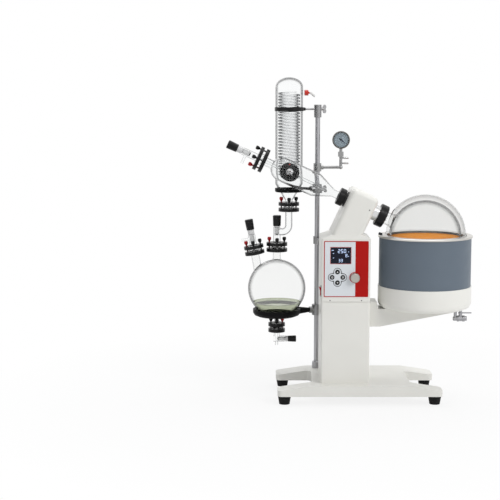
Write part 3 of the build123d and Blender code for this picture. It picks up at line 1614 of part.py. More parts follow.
# Control panel: a thin plate with openings for what stands through it
panel_face = column_front - panel_thickness
with BuildPart() as control_panel:
    with BuildSketch(Plane(origin=(0, column_front, 0), x_dir=(1, 0, 0), z_dir=(0, -1, 0))):
        with Locations((panel_x, panel_z)):
            RectangleRounded(panel_width, panel_height, 3)
        with Locations((display_x, display_z)):
            Rectangle(display_width, display_height, mode=Mode.SUBTRACT)
        with Locations(button_places):
            Circle(button_radius + moving_gap, mode=Mode.SUBTRACT)
        with Locations((knob_x, knob_z)):
            Circle(knob_shaft_radius + running_gap, mode=Mode.SUBTRACT)
    extrude(amount=panel_thickness)
save(control_panel, "control_panel")

# Control board: circuit board on four posts, with the display, the switches and the speed control
board_face = column_front + sheet + board_gap
board_margin = 8
board_height = 188
board_thickness = 1.6
button_back = column_front + sheet + seat_gap + 2
board_width = panel_width - 2 * board_margin
post_radius = 3.5
post_margin = 6
with BuildPart() as control_board:
    block(
        (panel_x - board_width / 2, board_face, panel_z - board_height / 2),
        (panel_x + board_width / 2, board_face + board_thickness, panel_z + board_height / 2),
    )
    block(
        (
            display_x - display_width / 2 + seat_gap,
            column_front - panel_thickness / 2,
            display_z - display_height / 2 + seat_gap,
        ),
        (
            display_x + display_width / 2 - seat_gap,
            board_face + 1,
            display_z + display_height / 2 - seat_gap,
        ),
    )
    for dx in (-1, 1):
        for dz in (-1, 1):
            post_x = panel_x + dx * (board_width / 2 - post_margin)
            post_z = panel_z + dz * (board_height / 2 - post_margin)
            post_plane = turning_plane((post_x, column_front + sheet, post_z), (0, 1, 0))
            bar(post_plane, 0, board_gap + board_thickness / 2, post_radius)
    for x, z in button_places:
        bar(turning_plane((x, button_back + 1.2 * button_travel, z), (0, 1, 0)), 0, 7, 3)
    bar(turning_plane((knob_x, board_face - 3, knob_z), (0, 1, 0)), 0, 4, 8)
save(control_board, "control_board")

# Buttons: four round keys with a flange behind the housing wall
for name, (x, z) in zip(("button_up", "button_left", "button_right", "button_down"), button_places):
    key_plane = turning_plane((x, panel_face - button_rise, z), (0, 1, 0))
    flange_start = button_rise + panel_thickness + sheet + seat_gap
    with BuildPart() as button:
        turn(
            key_plane,
            (0, 0),
            (0, button_radius - 0.8),
            (0.8, button_radius),
            (flange_start, button_radius),
            (flange_start, button_radius + 1.6),
            (flange_start + 2, button_radius + 1.6),
            (flange_start + 2, 0),
        )
    save(button, name)

# Speed knob with its shaft and a fine grip
knob_plane = turning_plane((knob_x, panel_face - moving_gap, knob_z), (0, -1, 0))
with BuildPart() as speed_knob:
    turn(
        knob_plane,
        (0, 0),
        (0, knob_radius),
        (knob_height - 2, knob_radius - 1),
        (knob_height, knob_radius - 3),
        (knob_height, 0),
    )
    bar(knob_plane, panel_face - moving_gap - board_face + 3 + seat_gap, 1, knob_shaft_radius)
save(speed_knob, "speed_knob")

# Power rocker: a dished paddle that tips in the housing's left wall, drawn in its on position
rocker_axis_x = column_left + 2.5
tip = radians(rocker_throw)
with BuildPart() as power_rocker:
    with BuildSketch(
        Plane(
            origin=(rocker_axis_x, rocker_y, rocker_z),
            x_dir=(cos(tip), 0, sin(tip)),
            z_dir=(0, -1, 0),
        )
    ):
        with BuildLine():
            Polyline(
                (-rocker_rise, rocker_height / 2 - 0.8),
                (3 - rocker_rise, 0),
                (-rocker_rise, 0.8 - rocker_height / 2),
                (2, 4 - rocker_height / 2),
                (4, 0),
                (2, rocker_height / 2 - 4),
                close=True,
            )
        make_face()
    extrude(amount=rocker_width / 2, both=True)
save(power_rocker, "power_rocker")
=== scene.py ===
import math

import bmesh
import bpy
from mathutils import Matrix, Vector


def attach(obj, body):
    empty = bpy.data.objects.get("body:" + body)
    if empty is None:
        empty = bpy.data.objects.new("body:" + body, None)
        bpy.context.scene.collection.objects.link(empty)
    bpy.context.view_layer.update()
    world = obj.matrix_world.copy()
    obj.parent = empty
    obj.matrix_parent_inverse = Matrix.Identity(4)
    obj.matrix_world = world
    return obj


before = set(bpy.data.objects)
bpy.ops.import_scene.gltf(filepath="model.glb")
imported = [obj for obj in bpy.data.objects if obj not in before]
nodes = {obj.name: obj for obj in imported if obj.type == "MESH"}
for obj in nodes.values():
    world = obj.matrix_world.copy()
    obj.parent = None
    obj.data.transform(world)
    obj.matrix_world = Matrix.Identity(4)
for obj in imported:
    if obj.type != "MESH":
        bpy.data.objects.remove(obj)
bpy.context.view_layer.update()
scene = bpy.context.scene
mm = 0.001
print("frame loaded:", len(nodes), "nodes")

# camera, standing where the photograph was taken from
cameraSetup = {"place": (-0.385, -4.962, 1.1846), "pitch": 83.0, "lens": 92.3, "sensor": 36.0}
cameraData = bpy.data.cameras.new("viewCamera")
cameraData.lens = cameraSetup["lens"]
cameraData.sensor_width = cameraSetup["sensor"]
cameraData.clip_end = 60.0
camera = bpy.data.objects.new("viewCamera", cameraData)
camera.location = cameraSetup["place"]
camera.rotation_euler = (math.radians(cameraSetup["pitch"]), 0.0, 0.0)
scene.collection.objects.link(camera)
scene.camera = camera
scene.view_settings.view_transform = "Standard"

# soft boxes: name, place, aim, size, watts
softBoxes = [
    ("keyBox", (2.9, -3.1, 2.9), (0.1, 0.0, 0.6), 2.2, 100.0),
    ("fillBox", (-3.2, -2.9, 2.0), (0.0, 0.0, 0.6), 2.4, 8.0),
    ("topBox", (0.2, 0.6, 3.6), (0.0, 0.0, 0.5), 2.6, 46.0),
    ("rearBox", (-1.6, 3.2, 2.2), (0.0, 0.0, 0.6), 2.0, 26.0),
]
for name, place, aim, size, watts in softBoxes:
    lampData = bpy.data.lights.new(name, "AREA")
    lampData.shape = "SQUARE"
    lampData.size = size
    lampData.energy = watts
    lamp = bpy.data.objects.new(name, lampData)
    lamp.location = place
    lamp.rotation_euler = (Vector(aim) - Vector(place)).to_track_quat("-Z", "Y").to_euler()
    lamp.visible_transmission = False  # the glass shows the white ground behind it, not the lamps
    scene.collection.objects.link(lamp)


def srgb(red, green, blue):
    parts = []
    for value in (red, green, blue):
        value /= 255.0
        parts.append(value / 12.92 if value <= 0.04045 else ((value + 0.055) / 1.055) ** 2.4)
    return (*parts, 1.0)


def seenDirectly(tree):
    # 1 for rays that show the backdrop itself, straight, mirrored or through glass
    paths = tree.nodes.new("ShaderNodeLightPath")
    first = tree.nodes.new("ShaderNodeMath")
    first.operation = "MAXIMUM"
    second = tree.nodes.new("ShaderNodeMath")
    second.operation = "MAXIMUM"
    tree.links.new(paths.outputs["Is Camera Ray"], first.inputs[0])
    tree.links.new(paths.outputs["Is Glossy Ray"], first.inputs[1])
    tree.links.new(first.outputs[0], second.inputs[0])
    tree.links.new(paths.outputs["Is Transmission Ray"], second.inputs[1])
    return second.outputs[0]


worldSetup = {"light": 0.42, "tint": (0.97, 0.98, 1.0, 1.0)}
world = bpy.data.worlds.new("studio")
scene.world = world
world.use_nodes = True
worldTree = world.node_tree
worldTree.nodes.clear()
worldOut = worldTree.nodes.new("ShaderNodeOutputWorld")
worldMix = worldTree.nodes.new("ShaderNodeMixShader")
dimSky = worldTree.nodes.new("ShaderNodeBackground")
dimSky.inputs["Color"].default_value = worldSetup["tint"]
dimSky.inputs["Strength"].default_value = worldSetup["light"]
whiteSky = worldTree.nodes.new("ShaderNodeBackground")
whiteSky.inputs["Color"].default_value = (1.0, 1.0, 1.0, 1.0)
whiteSky.inputs["Strength"].default_value = 1.0
worldTree.links.new(seenDirectly(worldTree), worldMix.inputs["Fac"])
worldTree.links.new(dimSky.outputs[0], worldMix.inputs[1])
worldTree.links.new(whiteSky.outputs[0], worldMix.inputs[2])
worldTree.links.new(worldMix.outputs[0], worldOut.inputs["Surface"])


# plain pale floor that keeps a little of the shadow
floorSetup = {"reach": 14.0, "white": 0.84, "fade": (0.55, 1.5), "shade": (0.9, 0.9, 0.9, 1.0), "drop": 0.0004}
floorMaterial = bpy.data.materials.new("paleFloor")
floorMaterial.use_nodes = True
floorTree = floorMaterial.node_tree
floorTree.nodes.clear()
floorOut = floorTree.nodes.new("ShaderNodeOutputMaterial")
floorMix = floorTree.nodes.new("ShaderNodeMixShader")
floorShade = floorTree.nodes.new("ShaderNodeBsdfDiffuse")
floorShade.inputs["Color"].default_value = floorSetup["shade"]
floorGlow = floorTree.nodes.new("ShaderNodeEmission")
floorGlow.inputs["Strength"].default_value = 1.0
floorAmount = floorTree.nodes.new("ShaderNodeMath")
floorAmount.operation = "MULTIPLY"
floorCoords = floorTree.nodes.new("ShaderNodeTexCoord")
floorDistance = floorTree.nodes.new("ShaderNodeVectorMath")
floorDistance.operation = "LENGTH"
floorFade = floorTree.nodes.new("ShaderNodeMapRange")  # plain white away from the object
floorFade.inputs["From Min"].default_value = floorSetup["fade"][0]
floorFade.inputs["From Max"].default_value = floorSetup["fade"][1]
floorFade.inputs["To Min"].default_value = floorSetup["white"]
floorFade.inputs["To Max"].default_value = 1.0
floorTree.links.new(floorCoords.outputs["Object"], floorDistance.inputs[0])
floorTree.links.new(floorDistance.outputs["Value"], floorFade.inputs["Value"])
floorTree.links.new(floorFade.outputs["Result"], floorAmount.inputs[1])
floorTree.links.new(seenDirectly(floorTree), floorAmount.inputs[0])
floorTree.links.new(floorAmount.outputs[0], floorMix.inputs["Fac"])
floorTree.links.new(floorShade.outputs[0], floorMix.inputs[1])
floorTree.links.new(floorGlow.outputs[0], floorMix.inputs[2])
floorTree.links.new(floorMix.outputs[0], floorOut.inputs["Surface"])
floorMesh = bpy.data.meshes.new("floor")
reach = floorSetup["reach"]
floorCorners = ((-reach, -reach), (reach, -reach), (reach, reach), (-reach, reach))
floorMesh.from_pydata([(x, y, -floorSetup["drop"]) for x, y in floorCorners], [], [(0, 1, 2, 3)])
floorMesh.materials.append(floorMaterial)
floor = bpy.data.objects.new("floor", floorMesh)
scene.collection.objects.link(floor)
print("studio ready")


# materials: each starts from a shader, then gets colour drift, sheen drift and grain in object space
def startMaterial(name, color, roughness, metallic=0.0):
    material = bpy.data.materials.new(name)
    material.use_nodes = True
    tree = material.node_tree
    shader = tree.nodes["Principled BSDF"]
    shader.inputs["Base Color"].default_value = color
    shader.inputs["Roughness"].default_value = roughness
    shader.inputs["Metallic"].default_value = metallic
    return material, tree, shader


def objectSpace(tree, stretch=(1.0, 1.0, 1.0), turn=(0.0, 0.0, 0.0)):
    coords = tree.nodes.new("ShaderNodeTexCoord")
    mapping = tree.nodes.new("ShaderNodeMapping")
    mapping.inputs["Scale"].default_value = stretch
    mapping.inputs["Rotation"].default_value = turn
    tree.links.new(coords.outputs["Object"], mapping.inputs["Vector"])
    return mapping.outputs["Vector"]


def cloud(tree, scale, detail=3.0, stretch=(1.0, 1.0, 1.0), turn=(0.0, 0.0, 0.0)):
    noise = tree.nodes.new("ShaderNodeTexNoise")
    noise.inputs["Scale"].default_value = scale
    noise.inputs["Detail"].default_value = detail
    tree.links.new(objectSpace(tree, stretch, turn), noise.inputs["Vector"])
    return noise.outputs["Fac"]


def driftColor(tree, shader, colorA, colorB, scale):
    ramp = tree.nodes.new("ShaderNodeValToRGB")
    ramp.color_ramp.elements[0].position = 0.32
    ramp.color_ramp.elements[0].color = colorA
    ramp.color_ramp.elements[1].position = 0.68
    ramp.color_ramp.elements[1].color = colorB
    tree.links.new(cloud(tree, scale), ramp.inputs["Fac"])
    tree.links.new(ramp.outputs["Color"], shader.inputs["Base Color"])
    return ramp


def driftRoughness(tree, shader, low, high, scale, stretch=(1.0, 1.0, 1.0)):
    spread = tree.nodes.new("ShaderNodeMapRange")
    spread.inputs["From Min"].default_value = 0.3
    spread.inputs["From Max"].default_value = 0.7
    spread.inputs["To Min"].default_value = low
    spread.inputs["To Max"].default_value = high
    tree.links.new(cloud(tree, scale, 4.0, stretch), spread.inputs["Value"])
    tree.links.new(spread.outputs["Result"], shader.inputs["Roughness"])


def addGrain(tree, shader, scale, strength, depth, stretch=(1.0, 1.0, 1.0), turn=(0.0, 0.0, 0.0)):
    bump = tree.nodes.new("ShaderNodeBump")
    bump.inputs["Strength"].default_value = strength
    bump.inputs["Distance"].default_value = depth
    tree.links.new(cloud(tree, scale, 3.0, stretch, turn), bump.inputs["Height"])
    tree.links.new(bump.outputs["Normal"], shader.inputs["Normal"])


def paintedFinish(name, color, colorB, roughness, gloss=0.5):
    material, tree, shader = startMaterial(name, color, roughness)
    shader.inputs["Specular IOR Level"].default_value = gloss
    driftColor(tree, shader, color, colorB, 5.0)
    driftRoughness(tree, shader, roughness - 0.05, roughness + 0.06, 30.0)
    addGrain(tree, shader, 1100.0, 0.10, 0.00012)  # orange peel of powder coat
    return material


def metalFinish(name, color, low, high, stretch, grainScale, grainStrength, turn=(0.0, 0.0, 0.0)):
    material, tree, shader = startMaterial(name, color, low, 1.0)
    driftRoughness(tree, shader, low, high, 40.0, stretch)
    addGrain(tree, shader, grainScale, grainStrength, 0.00008, stretch, turn)
    return material


def mouldedFinish(name, color, colorB, roughness, grainScale=2200.0, grainStrength=0.12, gloss=0.5):
    material, tree, shader = startMaterial(name, color, roughness)
    shader.inputs["Specular IOR Level"].default_value = gloss
    driftColor(tree, shader, color, colorB, 60.0)
    driftRoughness(tree, shader, roughness - 0.06, roughness + 0.08, 90.0)
    addGrain(tree, shader, grainScale, grainStrength, 0.00008)
    return material


def clearFinish(name, centre, edge, outlineShadeBand, refraction, clear=1.0, roughness=0.0):
    # clear body with painted shade at its outline: the base colour darkens with the viewing angle, standing in
    # for the dark edges that refraction gives thick walls
    material, tree, shader = startMaterial(name, centre, roughness)
    shader.inputs["Transmission Weight"].default_value = clear
    shader.inputs["IOR"].default_value = refraction
    # painted outline shade: the facing weight moves the base colour from the centre colour to the dark edge
    # colour
    weight = tree.nodes.new("ShaderNodeLayerWeight")
    weight.inputs["Blend"].default_value = 0.5
    ramp = tree.nodes.new("ShaderNodeValToRGB")
    ramp.color_ramp.elements[0].position = outlineShadeBand[0]
    ramp.color_ramp.elements[0].color = centre
    ramp.color_ramp.elements[1].position = outlineShadeBand[1]
    ramp.color_ramp.elements[1].color = edge
    tree.links.new(weight.outputs["Facing"], ramp.inputs["Fac"])
    tree.links.new(ramp.outputs["Color"], shader.inputs["Base Color"])
    driftRoughness(tree, shader, roughness, roughness + 0.015, 25.0)
    return material


def liquidFinish(name, color, deep, refraction, clear, gloss):
    material, tree, shader = startMaterial(name, color, 0.02)
    shader.inputs["Specular IOR Level"].default_value = gloss
    shader.inputs["Transmission Weight"].default_value = clear
    shader.inputs["IOR"].default_value = refraction
    driftColor(tree, shader, color, deep, 9.0)
    driftRoughness(tree, shader, 0.02, 0.05, 25.0)
    return material


whitePaint = paintedFinish("whitePaint", srgb(235, 234, 228), srgb(231, 230, 224), 0.38)
slatePaint = paintedFinish("slatePaint", srgb(95, 107, 119), srgb(91, 103, 115), 0.46)
blackPaint = paintedFinish("blackPaint", srgb(12, 12, 13), srgb(16, 16, 17), 0.5, 0.08)
motorPaint = paintedFinish("motorPaint", srgb(54, 55, 57), srgb(64, 65, 67), 0.5, 0.35)
gaugePaint = paintedFinish("gaugePaint", srgb(104, 102, 98), srgb(94, 92, 89), 0.34, 0.35)
pointerPaint = paintedFinish("pointerPaint", srgb(24, 36, 66), srgb(28, 42, 74), 0.4)
panPaint = paintedFinish("panPaint", srgb(237, 236, 230), srgb(233, 232, 226), 0.34)
rodSteel = metalFinish("rodSteel", srgb(162, 162, 165), 0.28, 0.4, (60.0, 60.0, 1.0), 40.0, 0.12)
turnedSteel = metalFinish("turnedSteel", srgb(204, 202, 197), 0.28, 0.4, (1.0, 1.0, 60.0), 30.0, 0.1)
spindleSteel = metalFinish(
    "spindleSteel", srgb(214, 214, 214), 0.1, 0.2, (60.0, 1.0, 1.0), 30.0, 0.1, (0.0, math.radians(25.0), 0.0)
)
castAlloy = metalFinish("castAlloy", srgb(138, 138, 139), 0.36, 0.52, (1.0, 1.0, 1.0), 700.0, 0.22)
knobAlloy = metalFinish("knobAlloy", srgb(176, 172, 165), 0.3, 0.42, (1.0, 60.0, 1.0), 30.0, 0.14)
nickelPlate = metalFinish("nickelPlate", srgb(152, 152, 152), 0.2, 0.32, (1.0, 1.0, 1.0), 300.0, 0.1)
blackPlastic = mouldedFinish("blackPlastic", srgb(11, 11, 12), srgb(17, 17, 18), 0.3, 2200.0, 0.12, 0.2)
redPlastic = mouldedFinish("redPlastic", srgb(182, 16, 22), srgb(192, 22, 24), 0.26, 2200.0, 0.12, 0.3)
ptfeWhite = mouldedFinish("ptfeWhite", srgb(214, 214, 214), srgb(222, 222, 222), 0.42)
footRubber = mouldedFinish("footRubber", srgb(14, 14, 14), srgb(22, 22, 22), 0.72, 900.0, 0.3, 0.2)
boardGreen = mouldedFinish("boardGreen", srgb(24, 84, 48), srgb(30, 98, 58), 0.5)
# clear finishes with painted outline shade: colour face on, colour of the painted shade at the outline, band
# where the painted shade darkens, refraction
clearGlass = clearFinish(
    "clearGlass", (0.95, 0.953, 0.95, 1.0), (0.004, 0.004, 0.005, 1.0), (0.5, 0.84), 1.1
)
jacketGlass = clearFinish(
    "jacketGlass", (0.98, 0.985, 0.985, 1.0), (0.03, 0.031, 0.033, 1.0), (0.42, 0.82), 1.08
)
tubeGlass = clearFinish(
    "tubeGlass", (0.97, 0.975, 0.975, 1.0), (0.012, 0.013, 0.014, 1.0), (0.26, 0.74), 1.1
)
valveGlass = clearFinish(
    "valveGlass", (0.98, 0.985, 0.985, 1.0), (0.02, 0.021, 0.022, 1.0), (0.36, 0.8), 1.05
)
headGlass = clearFinish(
    "headGlass", (0.96, 0.965, 0.965, 1.0), (0.02, 0.021, 0.022, 1.0), (0.48, 0.84), 1.2
)
coilGlass = clearFinish(
    "coilGlass", (0.96, 0.965, 0.97, 1.0), (0.06, 0.063, 0.066, 1.0), (0.15, 0.65), 1.08
)
domePlastic = clearFinish(
    "domePlastic", (0.95, 0.95, 0.945, 1.0), (0.6, 0.6, 0.595, 1.0), (0.45, 0.95), 1.03, 0.975
)
amberLiquid = liquidFinish("amberLiquid", srgb(255, 164, 58), srgb(249, 154, 48), 1.1, 0.0, 0.0)
paleLiquid = liquidFinish("paleLiquid", srgb(190, 195, 174), srgb(183, 189, 165), 1.1, 0.95, 0.3)
print("finishes ready")


def paint(material, *names):
    for name in names:
        for slot in nodes[name].material_slots:
            slot.material = material


paint(whitePaint, "base_frame", "column_shell", "rear_cover", "head_housing", "bath_arm")
paint(panPaint, "bath_pan")
paint(slatePaint, "bath_wall")
paint(blackPaint, "receiver_ring", "condenser_ring")
paint(motorPaint, "drive_motor", "lift_actuator")
paint(gaugePaint, "gauge_case")
paint(pointerPaint, "gauge_pointer")
paint(rodSteel, "support_rod", "guide_rods", "lift_piston", "bath_drain_valve", "drain_lever")
paint(turnedSteel, "bath_vessel")
paint(spindleSteel, "spindle", "spindle_bearings", "spindle_gear", "drive_pinion")
paint(castAlloy, "rod_clamps", "clamp_screws", "rod_stay", "bath_heater")
paint(knobAlloy, "speed_knob")
paint(nickelPlate, "gauge_manifold")
paint(blackPlastic, "clamp_plates", "black_thumb_screws", "flask_nut", "vapour_head_nut", "condenser_strap")
paint(blackPlastic, "feed_valve_key", "vacuum_valve_key", "receiver_valve_key", "drain_valve_key")
paint(blackPlastic, "power_inlet")
paint(blackPlastic, "button_up", "button_left", "button_right", "button_down")
paint(redPlastic, "red_thumb_screws", "power_rocker")
paint(footRubber, "rubber_feet")
paint(boardGreen, "control_board")
paint(clearGlass, "evaporating_flask", "receiving_flask")
paint(jacketGlass, "condenser_jacket")
paint(headGlass, "vapour_duct", "vapour_head")
paint(tubeGlass, "outlet_elbow", "drain_cock")
paint(valveGlass, "gas_valve_bodies")
paint(coilGlass, "condenser_coil")
paint(domePlastic, "splash_dome")


# two finishes on one node, split by a plane
def splitFinish(name, colorNear, colorFar, origin, direction, roughness):
    material, tree, shader = startMaterial(name, colorNear, roughness)
    coords = tree.nodes.new("ShaderNodeTexCoord")
    offset = tree.nodes.new("ShaderNodeVectorMath")
    offset.operation = "SUBTRACT"
    offset.inputs[1].default_value = origin
    along = tree.nodes.new("ShaderNodeVectorMath")
    along.operation = "DOT_PRODUCT"
    along.inputs[1].default_value = direction
    past = tree.nodes.new("ShaderNodeMath")
    past.operation = "GREATER_THAN"
    past.inputs[1].default_value = 0.0
    mix = tree.nodes.new("ShaderNodeMix")
    mix.data_type = "RGBA"
    mix.inputs["A"].default_value = colorNear
    mix.inputs["B"].default_value = colorFar
    tree.links.new(coords.outputs["Object"], offset.inputs[0])
    tree.links.new(offset.outputs["Vector"], along.inputs[0])
    tree.links.new(along.outputs["Value"], past.inputs[0])
    tree.links.new(past.outputs[0], mix.inputs["Factor"])
    tree.links.new(mix.outputs["Result"], shader.inputs["Base Color"])
    driftRoughness(tree, shader, roughness - 0.05, roughness + 0.06, 90.0)
    addGrain(tree, shader, 1800.0, 0.1, 0.00006)
    return material


# red screw caps end where the white hose tips begin: past a plane that both tips cross
capFinish = splitFinish(
    "capFinish", srgb(196, 40, 24), srgb(216, 216, 214), (-0.1555, 0.108, 0.0), (0.7071, 0.7071, 0.0), 0.3
)
paint(capFinish, "coolant_caps")
# the seal's flange is black, its sleeve in the spindle white
sealFinish = splitFinish(
    "sealFinish", srgb(214, 214, 214), srgb(14, 14, 15),
    (-0.01483, -0.042, 0.77735), (-0.906308, 0.0, 0.422618), 0.4
)
paint(sealFinish, "vacuum_seal")


# pieces that the scene adds
def smoothShade(mesh, angle=32.0):
    mesh.shade_smooth()
    mesh.set_sharp_from_angle(angle=math.radians(angle))


def addPiece(name, mesh, body, material=None):
    mesh.name = name
    if material:
        mesh.materials.clear()
        mesh.materials.append(material)
    piece = bpy.data.objects.new(name, mesh)
    scene.collection.objects.link(piece)
    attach(piece, body)
    return piece


def facing(origin, outward, up=(0.0, 0.0, 1.0)):
    # local x right, y up, z out of the face, in millimetres
    out = Vector(outward).normalized()
    upward = (Vector(up) - out * Vector(up).dot(out)).normalized()
    right = upward.cross(out)
    turn = Matrix((right, upward, out)).transposed().to_4x4()
    return Matrix.Translation(Vector(origin) * mm) @ turn @ Matrix.Scale(mm, 4)


def joinMeshes(meshes):
    joined = bmesh.new()
    for mesh in meshes:
        joined.from_mesh(mesh)
    result = bpy.data.meshes.new("joined")
    joined.to_mesh(result)
    joined.free()
    return result


def latheMesh(profile, place, segments=64, closed=False):
    # profile of (height, radius) round local z; points on the axis become poles
    work = bmesh.new()
    rings = []
    for height, radius in profile:
        if radius < 1e-6:
            rings.append([work.verts.new((0.0, 0.0, height))])
        else:
            steps = [2.0 * math.pi * step / segments for step in range(segments)]
            rings.append([work.verts.new((radius * math.cos(t), radius * math.sin(t), height)) for t in steps])
    pairs = list(zip(rings, rings[1:]))
    if closed:
        pairs.append((rings[-1], rings[0]))
    for lower, upper in pairs:
        for step in range(segments):
            after = (step + 1) % segments
            if len(lower) == 1 and len(upper) == 1:
                continue
            if len(lower) == 1:
                work.faces.new((lower[0], upper[after], upper[step]))
            elif len(upper) == 1:
                work.faces.new((lower[step], lower[after], upper[0]))
            else:
                work.faces.new((lower[step], lower[after], upper[after], upper[step]))
    bmesh.ops.recalc_face_normals(work, faces=work.faces[:])
    work.transform(place)
    mesh = bpy.data.meshes.new("lathe")
    work.to_mesh(mesh)
    work.free()
    smoothShade(mesh)
    return mesh


def plateMesh(outline, bottom, top, place, hole=None):
    # flat plate from an outline in local x and y, with an optional hole of as many points
    work = bmesh.new()
    levels = []
    for loop in ([outline, hole] if hole else [outline]):
        levels.append([[work.verts.new((x, y, z)) for x, y in loop] for z in (bottom, top)])
    count = len(outline)
    for lower, upper in levels:
        for step in range(count):
            after = (step + 1) % count
            work.faces.new((lower[step], lower[after], upper[after], upper[step]))
    if hole:
        for level in (0, 1):
            outer, inner = levels[0][level], levels[1][level]
            for step in range(count):
                after = (step + 1) % count
                work.faces.new((outer[step], outer[after], inner[after], inner[step]))
    else:
        for ring in levels[0]:
            work.faces.new(ring)
    bmesh.ops.recalc_face_normals(work, faces=work.faces[:])
    work.transform(place)
    mesh = bpy.data.meshes.new("plate")
    work.to_mesh(mesh)
    work.free()
    return mesh


def roundedRect(width, height, radius, steps=6):
    points = []
    for quarter, (sx, sy) in enumerate(((1, 1), (-1, 1), (-1, -1), (1, -1))):
        for step in range(steps + 1):
            angle = math.pi / 2 * (quarter + step / steps)
            cx = sx * (width / 2 - radius)
            cy = sy * (height / 2 - radius)
            points.append((cx + radius * math.cos(angle), cy + radius * math.sin(angle)))
    return points


def circle(radius, count=48, centre=(0.0, 0.0)):
    angles = [2.0 * math.pi * step / count for step in range(count)]
    return [(centre[0] + radius * math.cos(t), centre[1] + radius * math.sin(t)) for t in angles]


# node trees: marks along an arc, and screws on given points
def newTree(name, sockets):
    tree = bpy.data.node_groups.new(name, "GeometryNodeTree")
    tree.interface.new_socket("Geometry", in_out="INPUT", socket_type="NodeSocketGeometry")
    for label, kind in sockets:
        tree.interface.new_socket(label, in_out="INPUT", socket_type="NodeSocket" + kind)
    tree.interface.new_socket("Geometry", in_out="OUTPUT", socket_type="NodeSocketGeometry")
    return tree, tree.nodes.new("NodeGroupInput"), tree.nodes.new("NodeGroupOutput")


def bakeTree(tree, values, points=()):
    holderMesh = bpy.data.meshes.new("holder")
    holderMesh.from_pydata([tuple(point) for point in points], [], [])
    holder = bpy.data.objects.new("holder", holderMesh)
    scene.collection.objects.link(holder)
    build = holder.modifiers.new("build", "NODES")
    build.node_group = tree
    for item in tree.interface.items_tree:
        if item.in_out == "INPUT" and item.name in values:
            build[item.identifier] = values[item.name]
    graph = bpy.context.evaluated_depsgraph_get()
    mesh = bpy.data.meshes.new_from_object(holder.evaluated_get(graph))
    holder.modifiers.remove(build)
    bpy.data.objects.remove(holder)
    return mesh


def markTree():
    sockets = [("Count", "Int"), ("Radius", "Float"), ("Start", "Float"), ("Sweep", "Float")]
    tree, entry, leave = newTree("arcMarks", sockets + [("Size", "Vector"), ("Finish", "Material")])
    arc = tree.nodes.new("GeometryNodeCurveArc")
    arc.mode = "RADIUS"
    bar = tree.nodes.new("GeometryNodeMeshCube")
    where = tree.nodes.new("GeometryNodeInputPosition")
    aim = tree.nodes.new("FunctionNodeAlignRotationToVector")
    aim.axis = "X"
    scatter = tree.nodes.new("GeometryNodeInstanceOnPoints")
    realize = tree.nodes.new("GeometryNodeRealizeInstances")
    finish = tree.nodes.new("GeometryNodeSetMaterial")
    link = tree.links.new
    link(entry.outputs["Count"], arc.inputs["Resolution"])
    link(entry.outputs["Radius"], arc.inputs["Radius"])
    link(entry.outputs["Start"], arc.inputs["Start Angle"])
    link(entry.outputs["Sweep"], arc.inputs["Sweep Angle"])
    link(entry.outputs["Size"], bar.inputs["Size"])
    link(where.outputs["Position"], aim.inputs["Vector"])
    link(arc.outputs["Curve"], scatter.inputs["Points"])
    link(bar.outputs["Mesh"], scatter.inputs["Instance"])
    link(aim.outputs["Rotation"], scatter.inputs["Rotation"])
    link(scatter.outputs["Instances"], realize.inputs["Geometry"])
    link(realize.outputs["Geometry"], finish.inputs["Geometry"])
    link(entry.outputs["Finish"], finish.inputs["Material"])
    link(finish.outputs["Geometry"], leave.inputs["Geometry"])
    return tree


# a screw head's shares of its radius, and the depth of its slot
screwHead = {"sides": 24, "taper": 0.72, "slotLength": 1.1, "slotWidth": 0.26, "slotDepth": 0.1}


